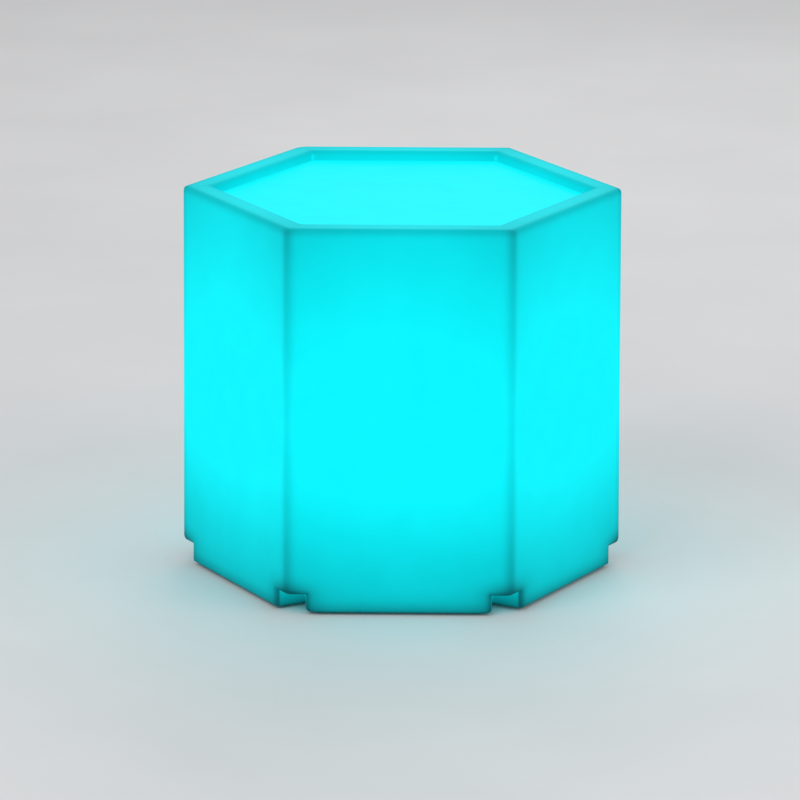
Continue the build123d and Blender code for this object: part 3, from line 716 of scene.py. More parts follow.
        # The emission is the painted glow, less what the studio's light on the body adds.
        own = shader.math("SUBTRACT", self.light(shader), self.body_share)
        grain = shader.noise(900.0, 2.0)
        shader.set(
            Base_Color=shader.tone(shader.noise(30.0, 2.0), self.body, 0.92, 1.08),
            Roughness=shader.spread(grain, 0.42, 0.52),
            Emission_Color=(*self.glow, 1.0),
            Emission_Strength=shader.math("MAXIMUM", own, 0.0),
            Specular_IOR_Level=self.gloss,
        )
        shader.relief(shader.noise(12.0, 1.0), 0.5 * MM, 0.25)
        shader.relief(grain, 0.03 * MM, 0.5)


class Recipe(Tree):
    """A Geometry Nodes tree under construction, with named inputs for its sizes."""

    def __init__(self, name: str) -> None:
        """Starts the tree.

        Args:
            name: The tree's name.
        """
        super().__init__(bpy.data.node_groups.new(name, "GeometryNodeTree"))
        self.entry = self.node("NodeGroupInput")
        self.identifiers: dict[str, str] = {}
        self.size_of: dict[str, Socket] = {}

    def size(self, name: str, kind: Kind = Kind.LENGTH) -> Socket:
        """Adds a named input to the tree.

        Args:
            name: The input's name.
            kind: Its socket type.

        Returns:
            The socket to link from.
        """
        item = self.tree.interface.new_socket(name=name, in_out="INPUT", socket_type=kind.value)
        self.identifiers[name] = item.identifier
        self.size_of[name] = self.entry.outputs[name]
        return self.size_of[name]

    def lengths(self, names: Iterable[str]) -> list[Socket]:
        """Adds a named input for each of several lengths."""
        return [self.size(name) for name in names]

    def own(self) -> Socket:
        """Adds the input that takes the mesh which the tree is put on."""
        self.tree.interface.new_socket(name="Geometry", in_out="INPUT", socket_type=GEOMETRY)
        return self.entry.outputs["Geometry"]

    def geometry(self, kind: str, inputs: dict[str, Value], **settings: Any) -> Socket:
        """Adds a geometry node.

        Args:
            kind: The node's type name, without its GeometryNode prefix.
            inputs: Values or sockets for its named inputs.
            settings: Properties to set on it.

        Returns:
            The node's first output.
        """
        made = self.node(f"GeometryNode{kind}", **settings)
        for name, value in inputs.items():
            self.feed(made.inputs[name], value)
        return made.outputs[0]

    def total(self, first: Value, *others: Value) -> Value:
        """Adds numbers or sockets up."""
        for other in others:
            first = self.math("ADD", first, other)
        return first

    def less(self, first: Value, *others: Value) -> Value:
        """Takes numbers or sockets off the first."""
        for other in others:
            first = self.math("SUBTRACT", first, other)
        return first

    def vector(self, x: Value = 0.0, y: Value = 0.0, z: Value = 0.0) -> Socket:
        """Joins three numbers or sockets to a vector."""
        return self.node("ShaderNodeCombineXYZ", x, y, z).outputs[0]

    def real(self, shape: Socket) -> Socket:
        """Makes instances real geometry."""
        return self.geometry("RealizeInstances", {"Geometry": shape})

    def move(self, shape: Socket, by: Socket, **inputs: Value) -> Socket:
        """Moves a shape, and turns or scales it where the inputs say so."""
        return self.geometry("Transform", {"Geometry": shape, "Translation": by, **inputs})

    def prism(
        self, count: int, radius: Value, low: Value, high: Value, top: Value = None
    ) -> Socket:
        """Adds an upright prism or frustum on the axis.

        Args:
            count: Number of sides.
            radius: Distance of its corners from the axis.
            low: Height of its bottom.
            high: Height of its top.
            top: The radius at its top, where that differs.

        Returns:
            The prism's geometry.
        """
        inputs = {
            "Vertices": count,
            "Radius Top": radius if top is None else top,
            "Radius Bottom": radius,
            "Depth": self.less(high, low),
        }
        cone = self.geometry("MeshCone", inputs, fill_type="NGON")
        return self.move(cone, self.vector(z=low))

    def block(self, x: Value, y: Value, low: Value, high: Value) -> Socket:
        """Adds an upright box on the axis.

        Args:
            x: Width along X.
            y: Width along Y.
            low: Height of its bottom.
            high: Height of its top.

        Returns:
            The box's geometry.
        """
        cube = self.geometry("MeshCube", {"Size": self.vector(x, y, self.less(high, low))})
        middle = self.math("MULTIPLY", self.total(low, high), 0.5)
        return self.move(cube, self.vector(z=middle))

    def boolean(self, operation: str, body: Socket | None, shapes: Iterable[Socket]) -> Socket:
        """Joins or cuts closed shapes.

        Args:
            operation: The boolean's name.
            body: The shape that is cut, where one is.
            shapes: The other shapes.

        Returns:
            The result's geometry.
        """
        made = self.node("GeometryNodeMeshBoolean", operation=operation, solver="EXACT")
        if body:
            self.feed(made.inputs["Mesh 1"], body)
        for shape in shapes:
            self.feed(made.inputs["Mesh 2"], shape)
        return made.outputs["Mesh"]

    def cut(self, body: Socket, *tools: Socket) -> Socket:
        """Cuts tools out of a body."""
        return self.boolean("DIFFERENCE", body, tools)

    def fuse(self, *shapes: Socket) -> Socket:
        """Fuses shapes that overlap."""
        return self.boolean("UNION", None, shapes)

    def join(self, *shapes: Socket) -> Socket:
        """Joins shapes without merging them.

        Args:
            shapes: The shapes.

        Returns:
            The joined geometry.
        """
        made = self.node("GeometryNodeJoinGeometry")
        for shape in reversed(shapes):
            self.feed(made.inputs[0], shape)
        return made.outputs[0]

    def ring(self, shape: Socket, count: Value, radius: Value, start: Value = 0.0) -> Socket:
        """Repeats a shape round the axis, each copy turned to face outwards.

        Args:
            shape: The geometry to repeat.
            count: Number of copies.
            radius: Distance of the copies from the axis.
            start: Angle of the first copy.

        Returns:
            The instances' geometry.
        """
        circle = self.geometry("MeshCircle", {"Vertices": count, "Radius": radius})
        turned = self.move(circle, self.vector(), Rotation=self.vector(z=start))
        place = self.geometry("InputPosition", {})
        x, y, _ = self.node("ShaderNodeSeparateXYZ", place).outputs
        facing = self.vector(z=self.math("ARCTAN2", y, x))
        inputs = {"Points": turned, "Instance": shape, "Rotation": facing}
        return self.geometry("InstanceOnPoints", inputs)

    def lattice(self, shape: Socket, counts: Sequence[Value], spans: Sequence[Value]) -> Socket:
        """Repeats a shape on a flat grid about the axis.

        Args:
            shape: The geometry to repeat.
            counts: Number of copies along X and along Y.
            spans: Distances between the outermost copies along X and along Y.

        Returns:
            The instances' geometry.
        """
        names = "Vertices X", "Vertices Y", "Size X", "Size Y"
        plane = self.geometry("MeshGrid", dict(zip(names, (*counts, *spans))))
        return self.geometry("InstanceOnPoints", {"Points": plane, "Instance": shape})

    def finish(self, shape: Socket) -> None:
        """Ends the tree: real geometry that carries the named finish.

        Args:
            shape: The geometry that the tree gives out.
        """
        finish = self.size("Finish", Kind.FINISH)
        inputs = {"Geometry": self.real(shape), "Material": finish}
        dressed = self.geometry("SetMaterial", inputs)
        self.tree.interface.new_socket(name="Geometry", in_out="OUTPUT", socket_type=GEOMETRY)
        self.node("NodeGroupOutput", dressed)

    def grow(
        self, name: str, finish: Finish, sizes: dict[str, float], mesh: bpy.types.Mesh | None = None
    ) -> bpy.types.Object:
        """Runs the tree and keeps its result as a plain mesh.

        Args:
            name: The new piece's name.
            finish: The finish that the tree sets.
            sizes: Values for the tree's inputs.
            mesh: The mesh that the tree is put on, where it takes one.

        Returns:
            The finished piece, at the origin.
        """
        seed = bpy.data.objects.new(f"{name}.seed", mesh or bpy.data.meshes.new(name))
        bpy.context.scene.collection.objects.link(seed)
        modifier = seed.modifiers.new("Recipe", "NODES")
        modifier.node_group = self.tree
        modifier[self.identifiers["Finish"]] = finish.make()
        for key, value in sizes.items():
            modifier[self.identifiers[key]] = value
        return settle(seed, name)


def settle(source: bpy.types.Object, name: str) -> bpy.types.Object:
    """Turns an object with modifiers into a plain mesh object and removes the source.

    Args:
        source: The object with its modifiers.
        name: The plain object's name.

    Returns:
        The plain object.
    """
    depsgraph = bpy.context.evaluated_depsgraph_get()
    mesh = bpy.data.meshes.new_from_object(source.evaluated_get(depsgraph))
    mesh.name = name
    bpy.data.objects.remove(source)
    piece = bpy.data.objects.new(name, mesh)
    bpy.context.scene.collection.objects.link(piece)
    return piece


def soften(piece: bpy.types.Object, angle: float = math.radians(35)) -> None:
    """Shades a piece smoothly except over edges sharper than an angle.

    Args:
        piece: The piece.
        angle: The least angle of an edge that stays sharp.
    """
    piece.data.shade_smooth()
    shape = bmesh.new()
    shape.from_mesh(piece.data)
    for edge in shape.edges:
        edge.smooth = len(edge.link_faces) != 2 or edge.calc_face_angle(0.0) < angle
    shape.to_mesh(piece.data)
    shape.free()


def stand_for(piece: bpy.types.Object, node: str, body: Body = Body.PLINTH) -> None:
    """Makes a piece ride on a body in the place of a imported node.

    Args:
        piece: The new piece.
        node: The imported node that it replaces.
        body: The body that it rides on.
    """
    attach(piece, body.value)
    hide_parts(node)
    log.info("%s stands for %s: %d faces", piece.name, node, len(piece.data.polygons))


def dress(finish: Finish, *nodes: str) -> None:
    """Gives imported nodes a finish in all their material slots.

    Args:
        finish: The finish.
        nodes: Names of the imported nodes.
    """
    material = finish.make()
    for node in nodes:
        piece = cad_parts[node]
        if not piece.material_slots:
            piece.data.materials.append(material)
        for slot in piece.material_slots:
            slot.material = material
        log.info("%s dressed in %s", node, finish.name)


@dataclass(frozen=True)
class Rounding:
    """Widths of the shell's rounded edges, and the number of steps across each."""

    corner: float = 5.8 * MM
    top: float = 6.0 * MM
    lip: float = 5.0 * MM
    recess_corner: float = 8.1 * MM
    recess_floor: float = 2.0 * MM
    notch_roof: float = 3.5 * MM
    notch_corner: float = 7.0 * MM
    notch_mouth: float = 7.0 * MM
    bottom: float = 4.0 * MM
    seat: float = 1.0 * MM
    seat_corner: float = 8.1 * MM
    port_corner: float = 3.5 * MM
    segments: int = 6


@dataclass
class PlinthShell:
    """The hollow hexagonal moulding with its recess, corner notches and port.

    Near is how close a point has to be to a level to count as on it. Merge, flat and crease
    are the limits by which the blank's loose points, flat edges and sharp edges are told.
    Over and under are how far the tools stick out, and the wedge is half of a notch tool.
    The two reaches tell the edges of the lip and of the stem holes from the outer ones.
    """

    sizes: ShellSizes = ShellSizes()
    rounding: Rounding = Rounding()
    near: float = 0.4 * MM
    merge: float = 0.01 * MM
    flat: float = math.radians(0.05)
    crease: float = math.radians(30)
    over: float = 20.0 * MM
    under: float = -10.0 * MM
    wedge: float = 60.0 * MM
    lip_reach: float = 5.0 * MM
    stem_reach: float = 4.32 * MM

    def inputs(self) -> dict[str, float]:
        """Values for the tree's inputs, by their names.

        Returns:
            The values.
        """
        sizes = self.sizes
        shrink = sizes.apothem(sizes.stand) - sizes.apothem(sizes.height)
        return {
            "Vertex radius": sizes.vertex_radius,
            "Height": sizes.height,
            "Stand": sizes.stand,
            "Wall": sizes.wall,
            "Draft shrink": shrink * TO_CORNER,
            "Recess radius": sizes.recess_apothem * TO_CORNER,
            "Recess depth": sizes.recess_depth,
            "Notch depth": sizes.notch_depth,
            "Notch height": sizes.notch_height,
            "Notch flare": sizes.flare,
            "Seat radius": sizes.seat_apothem * TO_CORNER,
            "Seat recess": sizes.seat_recess,
            "Port radius": sizes.port_apothem * TO_CORNER,
            "Boss circle": sizes.boss_circle,
            "Boss radius": sizes.boss_radius,
            "Boss height": sizes.boss_height,
            "Insert radius": sizes.insert_radius,
            "Insert length": sizes.insert_length,
            "Foot circle": sizes.foot_circle,
            "Stem radius": sizes.stem_radius,
        }

    def solid(self, recipe: Recipe, inset: Value) -> Socket:
        """The block that lies an inset inside the shell's outer surface.

        Args:
            recipe: The tree under construction.
            inset: Distance from the outer surface: none for the outside, the wall for the
                cavity.

        Returns:
            The block's geometry.
        """
        size_of = recipe.size_of
        vertex, height, stand = [size_of[name] for name in ("Vertex radius", "Height", "Stand")]
        slip = recipe.math("MULTIPLY", inset, TO_CORNER)
        foot = recipe.less(vertex, slip)
        top = recipe.less(vertex, size_of["Draft shrink"], slip)
        low, high = recipe.total(stand, inset), recipe.less(height, inset)
        block = recipe.prism(SIDES, foot, low, high, top)

        recess = recipe.total(size_of["Recess radius"], slip)
        floor = recipe.less(height, size_of["Recess depth"], inset)
        tray = recipe.prism(SIDES, recess, floor, recipe.total(height, self.over))

        flare = size_of["Notch flare"]
        back = recipe.math("DIVIDE", inset, recipe.math("SINE", flare))
        inner = recipe.less(vertex, size_of["Notch depth"], back)
        roof = recipe.total(stand, size_of["Notch height"], inset)
        wedge = recipe.prism(4, self.wedge, self.under, roof)
        squeeze = recipe.vector(1.0, recipe.math("TANGENT", flare), 1.0)
        wedge = recipe.move(wedge, recipe.vector(), Scale=squeeze)
        notches = recipe.real(recipe.ring(wedge, SIDES, recipe.total(inner, self.wedge)))

        seat = recipe.total(size_of["Seat radius"], slip)
        seat_top = recipe.total(stand, size_of["Seat recess"], inset)
        well = recipe.prism(SIDES, seat, self.under, seat_top)
        return recipe.cut(block, tray, notches, well)

    def recipe(self) -> Recipe:
        """The tree that cuts the shell out of tapered hexagonal blocks.

        Returns:
            The finished tree.
        """
        recipe = Recipe("Hexagonal shell")
        recipe.lengths(self.inputs())
        size_of = recipe.size_of
        stand, wall, port = [size_of[name] for name in ("Stand", "Wall", "Port radius")]
        seat = recipe.total(stand, size_of["Seat recess"])
        boss_top, insert_top, seat_top = [
            recipe.total(seat, size_of[name]) for name in ("Boss height", "Insert length", "Wall")
        ]
        bosses = self.studs(recipe, "Boss radius", "Boss circle", seat, boss_top)
        inserts = self.studs(recipe, "Insert radius", "Boss circle", seat, insert_top)
        stems = self.studs(recipe, "Stem radius", "Foot circle", stand, recipe.total(stand, wall))
        cavity = recipe.cut(self.solid(recipe, wall), bosses)
        shell = recipe.cut(self.solid(recipe, 0.0), cavity)
        shell = recipe.cut(shell, recipe.prism(SIDES, port, seat, seat_top))
        recipe.finish(recipe.cut(shell, inserts, stems))
        return recipe

    def studs(self, recipe: Recipe, radius: str, circle: str, low: Socket, high: Socket) -> Socket:
        """Six-sided studs that stand over the middle of each face.

        Args:
            recipe: The tree under construction.
            radius: Name of the studs' size.
            circle: Name of the circle that they stand on.
            low: Height of their bottoms.
            high: Height of their tops.

        Returns:
            The studs' geometry.
        """
        size = recipe.size_of[radius]
        stud = recipe.prism(SIDES, size, low, high)
        return recipe.real(recipe.ring(stud, SIDES, recipe.size_of[circle], HALF_SECTOR))

    def width(self, first: Vector, second: Vector) -> float:
        """The rounding's width at an edge, told by where its ends lie.

        Args:
            first: One end of the edge.
            second: Its other end.

        Returns:
            The width of its bevel, or nothing for an edge that stays sharp.
        """
        sizes = self.sizes
        rounding = self.rounding
        floor = sizes.height - sizes.recess_depth
        lip = sizes.recess_apothem + self.lip_reach
        stems = sizes.foot_circle + self.stem_reach
        low, high = sorted((first.z, second.z))
        reach = (self.normal(first) + self.normal(second)) / 2

        def at(value: float, level: float) -> bool:
            """Whether a value is at a level."""
            return abs(value - level) < self.near

        def on_face(point: Vector) -> bool:
            """Whether a point lies on the outer surface."""
            return at(self.normal(point), sizes.apothem(point.z))

        if at(low, high):
            if at(low, sizes.height):
                return rounding.top if reach > lip else rounding.lip
            if at(low, floor):
                return rounding.recess_floor
            if at(low, sizes.roof):
                both = on_face(first) and on_face(second)
                return rounding.notch_mouth if both else rounding.notch_roof
            if at(low, sizes.stand):
                if at(reach, sizes.seat_apothem):
                    return rounding.seat
                return rounding.bottom if reach > stems else 0.0
            return 0.0
        if at(high, sizes.height):
            return rounding.corner if low < sizes.height / 2 else rounding.recess_corner
        if at(low, sizes.stand) and at(high, sizes.roof):
            return rounding.notch_mouth if on_face(first) else rounding.notch_corner
        if at(low, sizes.stand) and at(high, sizes.seat):
            return rounding.seat_corner
        if at(low, sizes.seat) and at(high, sizes.seat + sizes.wall):
            return rounding.port_corner
        return 0.0

    @staticmethod
    def normal(point: Vector) -> float:
        """Distance from the axis along the normal of the nearest face."""
        angle = math.atan2(point.y, point.x) % SECTOR - HALF_SECTOR
        return math.hypot(point.x, point.y) * math.cos(angle)

    def round_edges(self, piece: bpy.types.Object) -> bpy.types.Object:
        """Gives each outer edge its own rounding and evens out the shading.

        Args:
            piece: The blank with sharp edges.

        Returns:
            The rounded piece.
        """
        widest = max(self.rounding.recess_corner, self.rounding.seat_corner)
        shape = bmesh.new()
        shape.from_mesh(piece.data)
        bmesh.ops.remove_doubles(shape, verts=shape.verts, dist=self.merge)
        bmesh.ops.dissolve_limit(
            shape, angle_limit=self.flat, verts=shape.verts, edges=shape.edges
        )
        weights = shape.edges.layers.float.new("bevel_weight_edge")
        for face in shape.faces:
            face.smooth = True
        for edge in shape.edges:
            width = self.width(edge.verts[0].co, edge.verts[1].co)
            edge[weights] = width / widest
            edge.smooth = width > 0 or edge.calc_face_angle(0.0) < self.crease
        shape.to_mesh(piece.data)
        shape.free()
        bevel = piece.modifiers.new("Rounding", "BEVEL")
        bevel.width = widest
        bevel.limit_method = "WEIGHT"
        bevel.segments = self.rounding.segments
        bevel.use_clamp_overlap = False
        weighted = piece.modifiers.new("Shading", "WEIGHTED_NORMAL")
        weighted.keep_sharp = True
        return settle(piece, "plinth_moulding")

    def build(self) -> None:
        """Makes the shell and puts it in the place of its solid."""
        finish = PaintedGlowShell("painted_glow_moulding", self.sizes)
        blank = self.recipe().grow("shell_blank", finish, self.inputs())
        stand_for(self.round_edges(blank), "plinth_shell")


@dataclass(frozen=True)
class Turning:
    """A turned shape: radii and places along its axis in millimetres, from end to end."""

    profile: tuple[tuple[float, float], ...]
    facets: int = 32
    lying: bool = False

    def mesh(self, name: str) -> bpy.types.Mesh:
        """Turns the profile round its axis, which stands up or lies along X.

        Args:
            name: The mesh's name.

        Returns:
            A closed mesh with its faces outwards.
        """
        shape = bmesh.new()
        rings = [self.circle(shape, radius * MM, place * MM) for radius, place in self.profile]
        for low, high in zip(rings, rings[1:]):
            for step in range(self.facets):
                here, after = step, (step + 1) % self.facets
                corners = [low[here % len(low)], low[after % len(low)]]
                corners += [high[after % len(high)], high[here % len(high)]]
                shape.faces.new(list(dict.fromkeys(corners)))
        bmesh.ops.recalc_face_normals(shape, faces=shape.faces)
        mesh = bpy.data.meshes.new(name)
        shape.to_mesh(mesh)
        shape.free()
        return mesh

    def circle(
        self, shape: bmesh.types.BMesh, radius: float, place: float
    ) -> list[bmesh.types.BMVert]:
        """Adds one point of the profile as a circle, or as a single point on the axis.

        Args:
            shape: The mesh under construction.
            radius: The point's radius.
            place: Its place along the axis.

        Returns:
            The circle's points.
        """
        count = self.facets if radius > 0 else 1
        circle = []
        for step in range(count):
            angle = math.tau * step / self.facets
            across, up = radius * math.cos(angle), radius * math.sin(angle)
            point = (place, across, up) if self.lying else (across, up, place)
            circle.append(shape.verts.new(point))
        return circle


@dataclass(frozen=True)
class RingLayout:
    """Copies on a circle round the object's axis."""

    count: int
    radius: float
    start: float = 0.0

    def spread(self, recipe: Recipe, shape: Socket) -> Socket:
        """Repeats a shape on the circle.

        Args:
            recipe: The tree under construction.
            shape: The geometry to repeat.

        Returns:
            The copies.
        """
        count = recipe.size("Count", Kind.COUNT)
        return recipe.ring(shape, count, recipe.size("Circle radius"), recipe.size("Start angle"))

    def sizes(self) -> dict[str, float]:
        """Values for the inputs that spread adds."""
        return {"Count": self.count, "Circle radius": self.radius, "Start angle": self.start}


@dataclass(frozen=True)
class GridLayout:
    """Copies in rows about a centre."""

    columns: int
    rows: int
    length: float
    width: float
    centre: Point

    def spread(self, recipe: Recipe, shape: Socket) -> Socket:
        """Repeats a shape on the grid.

        Args:
            recipe: The tree under construction.
            shape: The geometry to repeat.

        Returns:
            The copies.
        """
        counts = [recipe.size(name, Kind.COUNT) for name in ("Columns", "Rows")]
        spans = [recipe.size(name) for name in ("Length", "Width")]
        centre = recipe.vector(*[recipe.size(f"Centre {axis}") for axis in "XYZ"])
        return recipe.move(recipe.lattice(shape, counts, spans), centre)

    def sizes(self) -> dict[str, float]:
        """Values for the inputs that spread adds.

        Returns:
            The values, by the inputs' names.
        """
        spans = {"Length": self.length, "Width": self.width}
        centre = {f"Centre {axis}": value for axis, value in zip("XYZ", self.centre)}
        return {"Columns": self.columns, "Rows": self.rows} | spans | centre


@dataclass(frozen=True)
class Cross:
    """A cross recess that is cut into an end of a turned shape."""

    length: float
    width: float
    low: float
    high: float

    def cut(self, recipe: Recipe, shape: Socket) -> Socket:
        """Cuts the recess.

        Args:
            recipe: The tree under construction.
            shape: The turned shape.

        Returns:
            The shape with the recess in it.
        """
        length, width, low, high = recipe.lengths(self.sizes())
        first = recipe.block(length, width, low, high)
        second = recipe.block(width, length, low, high)
        return recipe.cut(shape, first, second)

    def sizes(self) -> dict[str, float]:
        """Values for the inputs that cut adds."""
        return {f"Cross {name}": value for name, value in asdict(self).items()}


@dataclass
class TurnedSet:
    """Turned pieces of one kind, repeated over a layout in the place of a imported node."""

    node: str
    slot: Slot
    shape: Turning
    layout: RingLayout | GridLayout
    finish: Finish
    cross: Cross | None = None

    def build(self) -> None:
        """Makes the set as one mesh."""
        recipe = Recipe(f"{self.node} layout")
        shape = recipe.own()
        sizes = self.layout.sizes()
        if self.cross:
            shape = self.cross.cut(recipe, shape)
            sizes |= self.cross.sizes()
        recipe.finish(self.layout.spread(recipe, shape))
        piece = recipe.grow(f"{self.node}_turned", self.finish, sizes, self.shape.mesh(self.node))
        soften(piece)
        stand_for(piece, self.node)


@dataclass(frozen=True)
class ScrewSize:
    """A screw's sizes and the height of the seat under its head, in millimetres."""

    radius: float
    length: float
    head_radius: float
    head_height: float
    seat: float
    hanging: bool = False
    pitch: float = 1.0
    core: float = 0.8
    dome: tuple[tuple[float, float], ...] = ((1.0, 0.35), (0.93, 0.66), (0.78, 0.88), (0.5, 1.0))

    @property
    def up(self) -> float:
        """1 where the head is above the seat, and -1 where it hangs below."""
        return -1.0 if self.hanging else 1.0

    def profile(self) -> Turning:
        """The screw from its tip to its head, with ridges for the thread.

        Returns:
            The turned shape.
        """
        core = self.core * self.radius
        start = self.length - self.radius
        points = [(0.0, -self.length), (0.4 * self.radius, -self.length), (core, -start)]
        for turn in range(int((start - self.pitch) / self.pitch)):
            place = -start + (turn + 0.35) * self.pitch
            points += [(self.radius, place), (core, place + 0.4 * self.pitch)]
        points += [(core, -0.3), (self.radius, 0.0), (self.head_radius, 0.0)]
        points += [(share * self.head_radius, rise * self.head_height) for share, rise in self.dome]
        points.append((0.0, self.head_height))
        return Turning(tuple((radius, self.seat + self.up * place) for radius, place in points), 24)

    def recess(self) -> Cross:
        """The cross recess in its head.

        Returns:
            The recess.
        """
        ends = sorted(self.seat + self.up * share * self.head_height for share in (0.4, 1.2))
        length, width = 1.05 * self.head_radius, 0.28 * self.head_radius
        return Cross(length * MM, width * MM, *[end * MM for end in ends])


@dataclass
class Fasteners:
    """All the screws and the brass inserts of the lamp unit."""

    base: ScrewSize = ScrewSize(2.0, 14.0, 4.0, 2.6, 8.0, hanging=True)
    board: ScrewSize = ScrewSize(1.5, 10.0, 2.8, 2.0, 36.6)
    bracket: ScrewSize = ScrewSize(1.5, 10.0, 2.8, 2.0, 30.7)
    diffuser: ScrewSize = ScrewSize(1.5, 14.0, 2.8, 2.0, 58.2)
    shell: ShellSizes = ShellSizes()
    tub_circle: float = 64.99 * MM
    block_y: float = 21.6 * MM
    board_span: tuple[float, float] = (76.0 * MM, 43.0 * MM)
    bracket_span: float = 64.4 * MM

    def inserts(self, layout: RingLayout) -> None:
        """Makes the six-sided inserts with their threaded bores.

        Args:
            layout: Their places.
        """
        shell = self.shell
        values = {
            "Insert radius": shell.insert_radius,
            "Insert low": shell.seat,
            "Insert high": shell.seat + shell.insert_length,
        }
        recipe = Recipe("Threaded inserts")
        core = recipe.own()
        sleeve = recipe.cut(recipe.prism(SIDES, *recipe.lengths(values)), core)
        recipe.finish(layout.spread(recipe, sleeve))
        bore = [(0.0, 11.0), (2.5, 11.0), (2.5, 12.2)]
        for turn in range(10):
            bore += [(2.05, 12.6 + turn), (2.35, 13.1 + turn)]
        bore += [(2.5, 22.8), (2.5, 24.0), (0.0, 24.0)]
        finish = Metal("turned_brass", (0.78, 0.60, 0.30), 0.28)
        mesh = Turning(tuple(bore), 20).mesh("insert_bore")
        piece = recipe.grow("threaded_inserts_turned", finish, values | layout.sizes(), mesh)
        soften(piece)
        stand_for(piece, "threaded_inserts")

    def build(self) -> None:
        """Makes every set of screws, then the inserts."""
        steel = Metal("zinc_plate", (0.60, 0.61, 0.63), 0.30, (1.0, 1.0, 1.0))
        centre = (0.0, self.block_y, 0.0)
        bosses = RingLayout(SIDES, self.shell.boss_circle, HALF_SECTOR)
        layouts = {
            "base_screws": (self.base, bosses),
            "board_screws": (self.board, GridLayout(2, 2, *self.board_span, centre)),
            "bracket_screws": (self.bracket, GridLayout(1, 2, 0.0, self.bracket_span, centre)),
            "diffuser_screws": (self.diffuser, RingLayout(3, self.tub_circle)),
        }
        for node, (screw, layout) in layouts.items():
            TurnedSet(node, Slot.SCREW, screw.profile(), layout, steel, screw.recess()).build()
        self.inserts(bosses)


